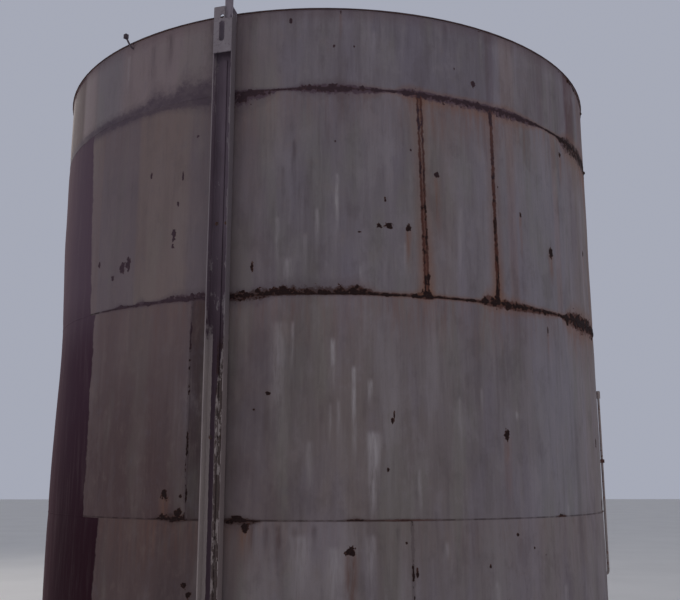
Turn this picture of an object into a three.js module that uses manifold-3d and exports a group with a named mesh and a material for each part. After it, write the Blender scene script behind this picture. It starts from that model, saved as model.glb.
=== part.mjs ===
// Vertical storage tank of rolled steel plates, in millimetres.
// Z is up and z = 0 is the floor under the bottom plate. The tank's axis is the Z axis.
// A bearing is an angle in degrees around that axis: 0 is the front (-Y), 90 the right side (+X).

import * as THREE from 'three';
import { mergeVertices } from 'three/addons/utils/BufferGeometryUtils.js';
import Module from 'manifold-3d';

const wasm = await Module();
wasm.setup();

// Driving dimensions of the shell
const SHELL_RADIUS = 1980; // to the outside of the plates
const SHELL_THICKNESS = 6;
const BOTTOM_THICKNESS = 8;
const BOTTOM_RADIUS = 2015; // the bottom plate's edge stands out under the shell
const COURSE_HEIGHT = 1220; // the width of a full plate
const TOP_COURSE_HEIGHT = 500;

// Driving dimensions of the roof
const ROOF_THICKNESS = 5;
const ROOF_OVERHANG = 8;
const ROOF_RISE = 165; // from the edge to the middle
const ROOF_SECTORS = 4;
const FIRST_ROOF_WELD = -70; // bearing
const RIM_ANGLE_LEG = 50;
const RIM_ANGLE_THICKNESS = 6;
const RIM_ANGLES = 4;
const FIRST_RIM_JOINT = -45; // bearing

// Driving dimensions of the level gauge
const GAUGE_BEARING = -17.4;
const CHANNEL_WIDTH = 120;
const CHANNEL_DEPTH = 58;
const CHANNEL_WEB = 7;
const CHANNEL_FLANGE = 9;
const CHANNEL_BOTTOM = 60;
const CHANNEL_STAND_OFF = 30; // from the shell to the back of the web
const GAUGE_POST_RADIUS = 24.15;
const GUIDE_X = -175; // where the conduit enters the roof, in the gauge's own frame
const GUIDE_Y = -1606;
const POST_OFFSET = 24; // the conduit stands this far to the right of the channel's middle

// Shared settings
const GAP = 0.3; // between pieces that rest on or beside each other
const ARC_STEP = 3; // degrees that one facet of the shell covers
const BORE_SIDES = 20;
const BAR_SIDES = 10;
const MANWAY_SIDES = 32;

const SHELL_INSIDE = SHELL_RADIUS - SHELL_THICKNESS;
const SHELL_BASE = BOTTOM_THICKNESS + GAP;
const SHELL_TOP = BOTTOM_THICKNESS + 3 * COURSE_HEIGHT + TOP_COURSE_HEIGHT;
const ROOF_RADIUS = SHELL_RADIUS + ROOF_OVERHANG;
const GUIDE_RADIUS = Math.hypot(GUIDE_X, GUIDE_Y);
const FACET_SAG = SHELL_RADIUS * (1 - Math.cos(THREE.MathUtils.degToRad(ARC_STEP / 2)));

const paint = new THREE.Color(0x8d8684);
const primer = new THREE.Color(0x5b474c);
const white = new THREE.Color(0xa59c98);
const steel = new THREE.Color(0x6f6865);

function finish(color, roughness, metalness) {
  return new THREE.MeshStandardMaterial({ color, roughness, metalness });
}

const finishes = {
  shell: () => finish(paint, 0.8, 0.1),
  roof: () => finish(paint, 0.85, 0.1),
  primer: () => finish(primer, 0.85, 0.1),
  white: () => finish(white, 0.75, 0.1),
  steel: () => finish(steel, 0.7, 0.3),
};

const tank = new THREE.Group();

// Solids

function toSolid(geometry, matrix = new THREE.Matrix4()) {
  const bare = geometry.clone().applyMatrix4(matrix);
  bare.deleteAttribute('normal');
  bare.deleteAttribute('uv');
  const merged = mergeVertices(bare, 1e-4);
  return new wasm.Manifold(new wasm.Mesh({
    numProp: 3,
    vertProperties: new Float32Array(merged.attributes.position.array),
    triVerts: new Uint32Array(merged.index.array),
  }));
}

function toGeometry(solid) {
  const { vertProperties, triVerts } = solid.getMesh();
  const geometry = new THREE.BufferGeometry();
  geometry.setAttribute('position', new THREE.BufferAttribute(vertProperties, 3));
  geometry.setIndex(new THREE.BufferAttribute(triVerts, 1));
  geometry.computeVertexNormals();
  return geometry;
}

function cut(solid, cutters) {
  return cutters.reduce((rest, cutter) => rest.subtract(cutter), solid);
}

function join(solids) {
  return solids.reduce((whole, solid) => whole.add(solid));
}

function addMesh(name, geometry, material, parent = tank) {
  const mesh = new THREE.Mesh(geometry, material);
  mesh.name = name;
  parent.add(mesh);
  return mesh;
}

function move(x, y, z) {
  return new THREE.Matrix4().makeTranslation(x, y, z);
}

function turn(bearing) {
  return new THREE.Matrix4().makeRotationZ(THREE.MathUtils.degToRad(bearing));
}

// Stands a lathe's own Y axis up along Z.
const upright = new THREE.Matrix4().makeRotationX(Math.PI / 2);

function polar(radius, bearing) {
  const angle = THREE.MathUtils.degToRad(bearing - 90);
  return new THREE.Vector2(radius * Math.cos(angle), radius * Math.sin(angle));
}

// A closed outline of [x, y] corners as a shape.
function outline(corners) {
  return new THREE.Shape(corners.map(([x, y]) => new THREE.Vector2(x, y)));
}

function extrude(shape, depth) {
  return new THREE.ExtrudeGeometry(shape, { depth, bevelEnabled: false, curveSegments: BORE_SIDES });
}

// A body of revolution about Y from [radius, height] corners. An outline off the axis closes on itself.
function lathe(corners, sides = BORE_SIDES) {
  const onAxis = corners[0][0] === 0;
  const closed = onAxis ? corners : [...corners, corners[0]];
  return new THREE.LatheGeometry(closed.map(([r, y]) => new THREE.Vector2(r, y)), sides);
}

// A round bar along a path.
function roundBar(radius, path, steps) {
  const section = new THREE.Shape().absarc(0, 0, radius, 0, 2 * Math.PI);
  return new THREE.ExtrudeGeometry(section, {
    steps, curveSegments: BAR_SIDES / 2, extrudePath: path, bevelEnabled: false,
  });
}

// Rings of the shell

function arcShape(inner, outer, from, to) {
  const steps = Math.round((to - from) / ARC_STEP);
  const bearings = Array.from({ length: steps + 1 }, (_, i) => from + (to - from) * i / steps);
  const points = [
    ...bearings.map((bearing) => polar(outer, bearing)),
    ...bearings.reverse().map((bearing) => polar(inner, bearing)),
  ];
  return new THREE.Shape(points);
}

function shellPlate(bottom, height, from, to) {
  const seam = THREE.MathUtils.radToDeg(GAP / 2 / SHELL_RADIUS);
  const shape = arcShape(SHELL_INSIDE, SHELL_RADIUS, from + seam, to - seam);
  return toSolid(extrude(shape, height), move(0, 0, bottom));
}

// The part of a ring between two bearings. Each side keeps half of the gap to the next part.
function sector(ring, from, to) {
  const half = THREE.MathUtils.degToRad((to - from) / 2);
  const middle = (from + to) / 2;
  const tip = polar(GAP / 2 / Math.sin(half), middle);
  const reach = 2 * SHELL_RADIUS;
  const rim = [0, 0.25, 0.5, 0.75, 1].map((t) => polar(reach, from + (to - from) * t).add(tip));
  const wedge = toSolid(extrude(new THREE.Shape([tip, ...rim]), 2 * SHELL_TOP));
  return ring.intersect(wedge);
}

// Flanged nozzles, drawn along Y with the flange face at the far end

function nozzleProfile({ bore, outer, flange, thickness, length }) {
  return [
    [bore, 0], [outer, 0], [outer, length - thickness],
    [flange, length - thickness], [flange, length], [bore, length],
  ];
}

const largePipe = { bore: 77, outer: 84.1, flange: 142, thickness: 22 };
const smallPipe = { bore: 26, outer: 30.1, flange: 82, thickness: 18 };
const sideNozzles = {
  outlet_nozzle: { bearing: 180, z: 260, length: 180, ...largePipe },
  drain_nozzle: { bearing: -90, z: 150, length: 150, ...smallPipe },
};
const manway = { bearing: 160, z: 620, bore: 297, outer: 305, flange: 370, thickness: 16, length: 200 };
const MANWAY_COVER_THICKNESS = 14;
const NOZZLE_INSIDE = 15; // how far a neck reaches into the tank
const CUTTER_LENGTH = 200;

const roofNozzles = {
  inlet_nozzle: { bearing: -103, radius: 1766, length: 190, ...largePipe },
  return_nozzle: { bearing: -109.4, radius: 900, length: 150, ...smallPipe },
  gauge_guide: {
    bearing: GAUGE_BEARING + THREE.MathUtils.radToDeg(Math.atan2(GUIDE_X, -GUIDE_Y)),
    radius: GUIDE_RADIUS,
    bore: GAUGE_POST_RADIUS + 2 * GAP, outer: 32, flange: 62, thickness: 14, length: 90,
  },
};
const VENT = { bore: 77, outer: 84.1, flange: 110, thickness: 10, length: 190 };

// Places a nozzle's own frame: its Y axis points out from the tank's axis.
function sidePlace({ bearing, z }) {
  const inwardStart = -(SHELL_RADIUS - SHELL_THICKNESS - NOZZLE_INSIDE);
  return turn(bearing).multiply(move(0, inwardStart, z)).multiply(new THREE.Matrix4().makeRotationX(Math.PI));
}

// Height of the roof plates' underside at a radius.
function roofUnderside(radius) {
  return SHELL_TOP + GAP + ROOF_RISE * (1 - radius / ROOF_RADIUS);
}

function roofPlace({ bearing, radius }) {
  const foot = polar(radius, bearing);
  return move(foot.x, foot.y, roofUnderside(radius) - NOZZLE_INSIDE).multiply(upright);
}

// A round cutter along Y, a gap wider than the neck that fills it.
function boreCutter(outer, place, sides = BORE_SIDES) {
  return toSolid(new THREE.CylinderGeometry(outer + GAP, outer + GAP, CUTTER_LENGTH, sides), place);
}

const ventPlace = roofPlace({ bearing: 0, radius: 0 });
const sideCutters = Object.values(sideNozzles).map((nozzle) => boreCutter(nozzle.outer, sidePlace(nozzle)));
sideCutters.push(boreCutter(manway.outer, sidePlace(manway), MANWAY_SIDES));
const roofCutters = Object.values(roofNozzles).map((nozzle) => boreCutter(nozzle.outer, roofPlace(nozzle)));
roofCutters.push(boreCutter(VENT.outer, ventPlace));

function addBottom() {
  const disc = toSolid(
    new THREE.CylinderGeometry(BOTTOM_RADIUS, BOTTOM_RADIUS, BOTTOM_THICKNESS, 360 / ARC_STEP),
    move(0, 0, BOTTOM_THICKNESS / 2).multiply(upright),
  );
  addMesh('bottom_plate', toGeometry(disc), finishes.primer());
}

// joints are the bearings of a ring's upright joints, in rising order. Every ring is parted into
// quarters. The other joints are the welds that the front shows, such as those on both sides of the
// short closing plate of course_3, and one between the manway and the outlet.
const courses = [
  { name: 'course_1', height: COURSE_HEIGHT, joints: [13.35, 45, 135, 173, 225, 315] },
  { name: 'course_2', height: COURSE_HEIGHT, joints: [-22.9, 45, 135, 225, 315] },
  { name: 'course_3', height: COURSE_HEIGHT, joints: [16, 30.2, 45, 135, 225, 315] },
  { name: 'top_course', height: TOP_COURSE_HEIGHT, joints: [45, 135, 225, 315] },
];

function addShell() {
  let bottom = SHELL_BASE;
  for (const { name, height, joints } of courses) {
    joints.forEach((from, i) => {
      const to = joints[i + 1] ?? joints[0] + 360;
      let plate = shellPlate(bottom, height - GAP, from, to);
      if (name === 'course_1') plate = cut(plate, sideCutters);
      addMesh(`${name}_plate_${i + 1}`, toGeometry(plate), finishes.shell());
    });
    bottom += height;
  }
}

// The angle bar that stiffens the rim stands inside the shell, with its flat leg on top.
function addRimAngles() {
  const outer = SHELL_INSIDE - FACET_SAG - GAP;
  const inner = outer - RIM_ANGLE_LEG;
  const top = SHELL_TOP - GAP;
  const legFace = outer - RIM_ANGLE_THICKNESS;
  const legUnder = top - RIM_ANGLE_THICKNESS;
  const ring = toSolid(lathe([
    [outer, top - RIM_ANGLE_LEG], [outer, top], [inner, top],
    [inner, legUnder], [legFace, legUnder], [legFace, top - RIM_ANGLE_LEG],
  ], 360 / ARC_STEP), upright);
  const places = ['front', 'right', 'back', 'left'];
  for (let i = 0; i < RIM_ANGLES; i += 1) {
    const from = FIRST_RIM_JOINT + i * 360 / RIM_ANGLES;
    const bar = sector(ring, from, from + 360 / RIM_ANGLES);
    addMesh(`rim_angle_${places[i]}`, toGeometry(bar), finishes.steel());
  }
}

function addRoof() {
  const cone = toSolid(lathe([
    [0, roofUnderside(0)], [ROOF_RADIUS, roofUnderside(ROOF_RADIUS)],
    [ROOF_RADIUS, roofUnderside(ROOF_RADIUS) + ROOF_THICKNESS], [0, roofUnderside(0) + ROOF_THICKNESS],
  ], 360 / ARC_STEP), upright);
  const pierced = cut(cone, roofCutters);
  for (let i = 0; i < ROOF_SECTORS; i += 1) {
    const from = FIRST_ROOF_WELD + i * 360 / ROOF_SECTORS;
    const plate = sector(pierced, from, from + 360 / ROOF_SECTORS);
    addMesh(`roof_plate_${i + 1}`, toGeometry(plate), finishes.roof());
  }
}

function addNozzles() {
  for (const [name, nozzle] of Object.entries(sideNozzles)) {
    addMesh(name, toGeometry(toSolid(lathe(nozzleProfile(nozzle)), sidePlace(nozzle))), finishes.shell());
  }
  for (const [name, nozzle] of Object.entries(roofNozzles)) {
    addMesh(name, toGeometry(toSolid(lathe(nozzleProfile(nozzle)), roofPlace(nozzle))), finishes.shell());
  }
}

function addManway() {
  const place = sidePlace(manway);
  const neck = toSolid(lathe(nozzleProfile(manway), MANWAY_SIDES), place);
  addMesh('manway_neck', toGeometry(neck), finishes.shell());
  const face = manway.length + GAP;
  const disc = toSolid(lathe([
    [0, face], [manway.flange, face],
    [manway.flange, face + MANWAY_COVER_THICKNESS], [0, face + MANWAY_COVER_THICKNESS],
  ], MANWAY_SIDES), place);
  addMesh('manway_cover', toGeometry(disc), finishes.shell());
  const onCover = move(0, face + MANWAY_COVER_THICKNESS + GAP, 0);
  const handle = toSolid(barHandle(), place.clone().multiply(onCover));
  addMesh('manway_handle', toGeometry(handle), finishes.shell());
}

// A round bar bent into a flat U, with its two feet on the cover.
function barHandle() {
  const width = 160;
  const rise = 55;
  const bend = 25;
  const path = new THREE.CatmullRomCurve3([
    [-width / 2, 0], [-width / 2, rise - bend], [-width / 2 + bend, rise],
    [width / 2 - bend, rise], [width / 2, rise - bend], [width / 2, 0],
  ].map(([x, y]) => new THREE.Vector3(x, y, 0)), false, 'catmullrom', 0.2);
  return roundBar(8, path, 14);
}

// The vent: an open neck in the middle of the roof under a domed hood on three legs.
function addVent() {
  addMesh('roof_vent', toGeometry(toSolid(lathe(nozzleProfile(VENT)), ventPlace)), finishes.steel());
  const hoodRadius = 190;
  const hoodBase = VENT.length + 45;
  const hoodRise = 60;
  const hoodWall = 5;
  const shoulder = 110;
  const shoulderRise = 47;
  const skirt = 25;
  const top = toSolid(lathe([
    [0, hoodBase + hoodRise], [shoulder, hoodBase + shoulderRise],
    [hoodRadius, hoodBase], [hoodRadius, hoodBase - skirt],
    [hoodRadius - hoodWall, hoodBase - skirt], [hoodRadius - hoodWall, hoodBase - hoodWall],
    [shoulder - 2, hoodBase + shoulderRise - hoodWall], [0, hoodBase + hoodRise - hoodWall],
  ].reverse()), ventPlace);
  const legs = [0, 120, 240].map((bearing) => {
    const inner = VENT.flange + GAP;
    const leg = extrude(outline([
      [inner, VENT.length - VENT.thickness], [inner + 8, VENT.length - VENT.thickness],
      [inner + 8, hoodBase + 40], [inner, hoodBase + 40],
    ]), 30);
    const side = new THREE.Matrix4().makeRotationY(THREE.MathUtils.degToRad(bearing));
    return toSolid(leg, ventPlace.clone().multiply(side).multiply(move(0, 0, -15)));
  });
  addMesh('roof_vent_hood', toGeometry(join([top, ...legs])), finishes.steel());
}

// The level gauge stands in a frame of its own: X runs along the shell and -Y points outwards.

const gauge = new THREE.Group();
gauge.rotation.z = THREE.MathUtils.degToRad(GAUGE_BEARING);
tank.add(gauge);

const CHANNEL_BACK = -(SHELL_RADIUS + CHANNEL_STAND_OFF);
const CHANNEL_FRONT = CHANNEL_BACK - CHANNEL_DEPTH;
const CHANNEL_TOP = SHELL_TOP - 34;
const HEAD_PLATE = { width: 116, bottom: 3890, top: 4184, thickness: 8 };
const HEAD_NOTCH = { x: 11, z: 4104 }; // the corner that is cut away around the conduit
const HEAD_SLOT = { x: -6, bottom: 3962, top: 4090, radius: 17 };
const HEAD_HOLE = { x: -6, z: 4120, radius: 13 };
const STRIP = { width: 24, thickness: 6, bottom: 120, top: 3860 };
const BRACKET = { width: 70, thickness: 8, height: 90, heights: [420, 1620, 2820, 3900] };
const POST_BOTTOM = 3960;
const POST_ELBOW_Z = 4590;
const POST_BEND = 95;

function addChannel() {
  const half = CHANNEL_WIDTH / 2;
  const section = outline([
    [-half, CHANNEL_BACK], [-half, CHANNEL_FRONT], [-half + CHANNEL_FLANGE, CHANNEL_FRONT],
    [-half + CHANNEL_FLANGE, CHANNEL_BACK - CHANNEL_WEB], [half - CHANNEL_FLANGE, CHANNEL_BACK - CHANNEL_WEB],
    [half - CHANNEL_FLANGE, CHANNEL_FRONT], [half, CHANNEL_FRONT], [half, CHANNEL_BACK],
  ]);
  const bar = extrude(section, CHANNEL_TOP - CHANNEL_BOTTOM);
  addMesh('gauge_channel', bar, finishes.white(), gauge).position.z = CHANNEL_BOTTOM;
  const front = CHANNEL_BACK - CHANNEL_WEB - GAP;
  const strip = new THREE.BoxGeometry(STRIP.width, STRIP.thickness, STRIP.top - STRIP.bottom);
  const stripMesh = addMesh('gauge_strip', strip, finishes.primer(), gauge);
  stripMesh.position.set(0, front - STRIP.thickness / 2, (STRIP.top + STRIP.bottom) / 2);
}

// Folded clips that hold the channel off the shell: two legs towards the shell and a web on the channel.
function addBrackets() {
  const half = BRACKET.width / 2;
  const back = -(SHELL_RADIUS + GAP);
  const front = CHANNEL_BACK + GAP;
  const section = outline([
    [-half, back], [-half, front], [half, front], [half, back],
    [half - BRACKET.thickness, back], [half - BRACKET.thickness, front + BRACKET.thickness],
    [-half + BRACKET.thickness, front + BRACKET.thickness], [-half + BRACKET.thickness, back],
  ]);
  BRACKET.heights.forEach((z, i) => {
    const clip = extrude(section, BRACKET.height);
    addMesh(`gauge_bracket_${i + 1}`, clip, finishes.shell(), gauge).position.z = z;
  });
}

function addHeadPlate() {
  const { bottom, top, thickness } = HEAD_PLATE;
  const half = HEAD_PLATE.width / 2;
  const plate = outline([
    [-half, bottom], [half, bottom], [half, HEAD_NOTCH.z], [HEAD_NOTCH.x, HEAD_NOTCH.z], [HEAD_NOTCH.x, top],
    [-half, top],
  ]);
  const slot = new THREE.Path();
  slot.absarc(HEAD_SLOT.x, HEAD_SLOT.top - HEAD_SLOT.radius, HEAD_SLOT.radius, 0, Math.PI);
  slot.absarc(HEAD_SLOT.x, HEAD_SLOT.bottom + HEAD_SLOT.radius, HEAD_SLOT.radius, Math.PI, 2 * Math.PI);
  const hole = new THREE.Path().absarc(HEAD_HOLE.x, HEAD_HOLE.z, HEAD_HOLE.radius, 0, 2 * Math.PI);
  plate.holes.push(slot, hole);
  const settings = { depth: thickness, bevelEnabled: false, curveSegments: 6 };
  const geometry = new THREE.ExtrudeGeometry(plate, settings);
  const mesh = addMesh('gauge_head_plate', geometry, finishes.white(), gauge);
  mesh.rotation.x = Math.PI / 2;
  mesh.position.y = CHANNEL_FRONT - GAP;
}

// The conduit of the gauge's cable: up from the channel's head, over the rim and down into the roof.
function addPost() {
  const start = new THREE.Vector2(POST_OFFSET, CHANNEL_FRONT + GAUGE_POST_RADIUS + GAP);
  const guide = new THREE.Vector2(GUIDE_X, GUIDE_Y);
  const ahead = guide.clone().sub(start).setLength(POST_BEND);
  const guideTop = roofUnderside(GUIDE_RADIUS) - NOZZLE_INSIDE + 60;
  const at = (place, z) => new THREE.Vector3(place.x, place.y, z);
  const path = new THREE.CurvePath();
  const [foot, rise] = [at(start, POST_BOTTOM), at(start, POST_ELBOW_Z - POST_BEND)];
  const [corner, run] = [at(start, POST_ELBOW_Z), at(start.clone().add(ahead), POST_ELBOW_Z)];
  const [runEnd, secondCorner] = [at(guide.clone().sub(ahead), POST_ELBOW_Z), at(guide, POST_ELBOW_Z)];
  const [drop, end] = [at(guide, POST_ELBOW_Z - POST_BEND), at(guide, guideTop)];
  path.add(new THREE.LineCurve3(foot, rise));
  path.add(new THREE.QuadraticBezierCurve3(rise, corner, run));
  path.add(new THREE.LineCurve3(run, runEnd));
  path.add(new THREE.QuadraticBezierCurve3(runEnd, secondCorner, drop));
  path.add(new THREE.LineCurve3(drop, end));
  addMesh('gauge_post', roundBar(GAUGE_POST_RADIUS, path, 44), finishes.steel(), gauge);
}

// A folded plate that ties the post to the roof's edge: a sloping ear along the rim and a web to the post.
const POST_TIE = {
  thickness: 6, width: 28, bottom: 4120, shoulder: 4176, top: 4232, webBottom: 4176, webHeight: 50,
};

function addPostTie() {
  const { thickness, webBottom, webHeight } = POST_TIE;
  const earBack = -(ROOF_RADIUS + GAP);
  const earFront = earBack - thickness;
  const left = POST_OFFSET - thickness / 2;
  const postBack = CHANNEL_FRONT + 2 * GAUGE_POST_RADIUS + 2 * GAP;
  const right = POST_OFFSET + POST_TIE.width;
  const ear = outline([
    [left, POST_TIE.bottom], [right, POST_TIE.bottom], [right, POST_TIE.shoulder], [left, POST_TIE.top],
  ]);
  const facing = new THREE.Matrix4().makeRotationX(Math.PI / 2);
  const earSolid = toSolid(extrude(ear, thickness), move(0, earBack, 0).multiply(facing));
  const webBack = earFront + thickness / 2;
  const web = toSolid(new THREE.BoxGeometry(thickness, webBack - postBack, webHeight),
    move(POST_OFFSET, (webBack + postBack) / 2, webBottom + webHeight / 2));
  addMesh('gauge_post_tie', toGeometry(join([earSolid, web])), finishes.steel(), gauge);
}

// A tube that stands off the shell on the right, with a cap, a clip and an elbow into the shell.
const TUBE = { bearing: 84, radius: 2028, size: 8.6, bottom: 780, top: 2036, bend: 26, clip: 1573 };
const TUBE_CAP = { radius: 14, bottom: 2030, top: 2086 };

function addSampleTube() {
  const frame = new THREE.Group();
  frame.rotation.z = THREE.MathUtils.degToRad(TUBE.bearing);
  tank.add(frame);
  const shellFace = -(SHELL_RADIUS + GAP);
  const path = new THREE.CurvePath();
  const at = (y, z) => new THREE.Vector3(0, y, z);
  const bendStart = at(-TUBE.radius + TUBE.bend, TUBE.bottom);
  const bendEnd = at(-TUBE.radius, TUBE.bottom + TUBE.bend);
  path.add(new THREE.LineCurve3(at(shellFace, TUBE.bottom), bendStart));
  path.add(new THREE.QuadraticBezierCurve3(bendStart, at(-TUBE.radius, TUBE.bottom), bendEnd));
  path.add(new THREE.LineCurve3(bendEnd, at(-TUBE.radius, TUBE.top)));
  const tube = roundBar(TUBE.size, path, 26);
  const { radius, bottom, top } = TUBE_CAP;
  const cap = lathe([[0, bottom], [radius, bottom], [radius, top], [0, top]], 12);
  const solid = join([toSolid(tube), toSolid(cap, move(0, -TUBE.radius, 0).multiply(upright))]);
  addMesh('sample_tube', toGeometry(solid), finishes.white(), frame);
  addClip(frame, shellFace);
}

function addClip(frame, shellFace) {
  const width = 40;
  const height = 25;
  const bar = toSolid(new THREE.BoxGeometry(width, TUBE.radius + TUBE.size + 5 + shellFace, height),
    move(0, (shellFace - TUBE.radius - TUBE.size - 5) / 2, TUBE.clip));
  const bore = toSolid(new THREE.CylinderGeometry(TUBE.size + GAP, TUBE.size + GAP, 2 * height, 16),
    move(0, -TUBE.radius, TUBE.clip).multiply(upright));
  addMesh('sample_tube_clip', toGeometry(bar.subtract(bore)), finishes.steel(), frame);
}

// A bent pin with a square head that stands out from the rim at the left.
const STUB = { bearing: -38.9, radius: 6, foot: 4135, reach: 60, rise: 58, head: 24 };

function addRimStub() {
  const frame = new THREE.Group();
  frame.rotation.z = THREE.MathUtils.degToRad(STUB.bearing);
  tank.add(frame);
  const face = -(SHELL_RADIUS + GAP);
  const path = new THREE.QuadraticBezierCurve3(
    new THREE.Vector3(0, face, STUB.foot),
    new THREE.Vector3(0, face - STUB.reach * 0.45, STUB.foot),
    new THREE.Vector3(0, face - STUB.reach, STUB.foot + STUB.rise),
  );
  const pin = roundBar(STUB.radius, path, 6);
  const head = toSolid(new THREE.BoxGeometry(STUB.head, STUB.head, STUB.head * 1.2),
    move(0, face - STUB.reach, STUB.foot + STUB.rise));
  addMesh('rim_stub', toGeometry(join([toSolid(pin), head])), finishes.steel(), frame);
}

addBottom();
addShell();
addRimAngles();
addRoof();
addNozzles();
addManway();
addVent();
addChannel();
addBrackets();
addHeadPlate();
addPost();
addPostTie();
addSampleTube();
addRimStub();

export default tank;
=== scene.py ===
"""Dresses the vertical storage tank: plates, welds, rust, gauge, fittings, camera and light.

Lengths are metres in the model's own frame. A bearing is an angle in degrees around the tank's
axis: 0 is the front (-Y), 90 the right side (+X). A place on the shell is given by its arc, which is
the length along the shell from bearing 0, and its height z.
"""

import math
import random

import bmesh
import bpy
from mathutils import Matrix, Vector, noise


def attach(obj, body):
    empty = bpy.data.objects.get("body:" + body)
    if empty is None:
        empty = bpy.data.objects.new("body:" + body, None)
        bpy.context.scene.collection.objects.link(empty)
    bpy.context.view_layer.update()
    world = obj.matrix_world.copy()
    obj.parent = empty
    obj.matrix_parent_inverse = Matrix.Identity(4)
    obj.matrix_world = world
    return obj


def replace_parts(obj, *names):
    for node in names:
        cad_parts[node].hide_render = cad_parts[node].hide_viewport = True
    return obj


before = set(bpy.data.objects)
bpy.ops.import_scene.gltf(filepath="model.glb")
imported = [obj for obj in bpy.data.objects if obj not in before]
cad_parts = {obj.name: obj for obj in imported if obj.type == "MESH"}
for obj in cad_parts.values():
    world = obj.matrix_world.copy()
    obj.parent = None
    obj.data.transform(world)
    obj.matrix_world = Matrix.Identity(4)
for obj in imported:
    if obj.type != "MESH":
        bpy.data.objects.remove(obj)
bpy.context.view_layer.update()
scene = bpy.context.scene
random.seed(7)

# Shell
RADIUS = 1.98
ARC_PER_DEGREE = RADIUS * math.pi / 180
WALL = 0.006
BOTTOM = 0.008
COURSE = 1.22
TOP_COURSE = 0.5
SEAMS = [BOTTOM + COURSE, BOTTOM + 2 * COURSE, BOTTOM + 3 * COURSE]
SHELL_TOP = SEAMS[2] + TOP_COURSE
GAP = 0.0003
PLATE_STEP = 0.04
PLATE_STEP_DEGREES = 1.1

# How the plates stray from the true cylinder: sunk as a whole, in waves and ripples, pulled in towards the
# seams, and with one broad dent at the left
SUNK = 0.002
WAVE = 0.0022
RIPPLE = 0.0012
SEAM_PULL = {"depth": 0.0025, "reach": 0.05}
DENT = {"depth": 0.03, "bearing": -78, "degrees": 13, "z": 2.3, "height": 0.5}

# How far an upright weld stays clear of the seam below it and of the one above
UPRIGHT_ENDS = (0.008, 0.006)

# Weld beads: (half width, height)
SEAM_BEAD = (0.0055, 0.0018)
UPRIGHT_BEAD = (0.0065, 0.0018)
RIM_BEAD = (0.004, 0.004)
ROOF_BEAD = (0.007, 0.0025)

# The rolled plates of each ring: (first bearing, last bearing, numbers of the solids they replace)
COURSES = {
    "course_1": {"bottom": BOTTOM, "top": SEAMS[0],
                 "plates": [(13.35, 135, (1, 2)), (135, 173, (3,)), (173, 225, (4,)), (225, 373.35, (5, 6))]},
    "course_2": {"bottom": SEAMS[0], "top": SEAMS[1],
                 "plates": [(-22.9, 135, (1, 2)), (135, 225, (3,)), (225, 337.1, (4, 5))]},
    "course_3": {"bottom": SEAMS[1], "top": SEAMS[2],
                 "plates": [(16, 30.2, (1,)), (30.2, 135, (2, 3)), (135, 225, (4,)), (225, 376, (5, 6))]},
    "top_course": {"bottom": SEAMS[2], "top": SHELL_TOP,
                   "plates": [(135, 225, (2,)), (225, 495, (3, 4, 1))]},
}

# Roof
ROOF_RADIUS = 1.988
ROOF_RISE = 0.165
ROOF_THICKNESS = 0.005
ROOF_WELDS = [-70, 20, 110, 200]

# Nozzles. A flange's circle is the radius at which its bolt holes lie
NECK_INSIDE = 0.015
LARGE = {"bore": 0.077, "outer": 0.0841, "flange": 0.142, "thickness": 0.022, "bolts": 8, "circle": 0.12,
         "hole": 0.011}
SMALL = {"bore": 0.026, "outer": 0.0301, "flange": 0.082, "thickness": 0.018, "bolts": 4, "circle": 0.0625,
         "hole": 0.009}
SIDE_NOZZLES = {
    "outlet_nozzle": {**LARGE, "length": 0.18, "bearing": 180, "z": 0.26},
    "drain_nozzle": {**SMALL, "length": 0.15, "bearing": -90, "z": 0.15},
}
ROOF_NOZZLES = {
    "inlet_nozzle": {**LARGE, "length": 0.19, "bearing": -103, "radius": 1.766},
    "return_nozzle": {**SMALL, "length": 0.15, "bearing": -109.4, "radius": 0.9},
}
MANWAY = {"bore": 0.297, "outer": 0.305, "flange": 0.37, "thickness": 0.016, "length": 0.2, "bolts": 20,
          "circle": 0.34, "bearing": 160, "z": 0.62}
COVER = 0.014
VENT = {"bore": 0.077, "outer": 0.0841, "flange": 0.11, "thickness": 0.01, "length": 0.19}

# The hood's profile: (radius, height above its edge)
HOOD = [(0, 0.0595), (0.04, 0.0588), (0.075, 0.055), (0.11, 0.047), (0.15, 0.028), (0.19, 0), (0.19, -0.025),
        (0.187, -0.025), (0.185, -0.003), (0.148, 0.024), (0.108, 0.042), (0.07, 0.051), (0, 0.055)]

# Level gauge
GAUGE_BEARING = -17.4
CHANNEL_BACK = -2.01
CHANNEL_FRONT = -2.068
CHANNEL_HALF = 0.06
CHANNEL_BOTTOM = 0.06
CHANNEL_TOP = SHELL_TOP - 0.034
CHANNEL_WEB = 0.007
CHANNEL_FLANGE = 0.009
BRACKET_HEIGHTS = (0.42, 1.62, 2.82, 3.9)
HEAD_BOTTOM = 3.89
POST_X = 0.024
POST_RADIUS = 0.02415
POST_TOP = 4.5895
GUIDE_X = -0.175
GUIDE_Y = -1.606
GUIDE = {"bore": POST_RADIUS + 2 * GAP, "outer": 0.032, "flange": 0.062, "thickness": 0.014, "length": 0.09}

# Small fittings on the shell
TUBE_BEARING = 84
STUB_BEARING = -38.9

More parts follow.
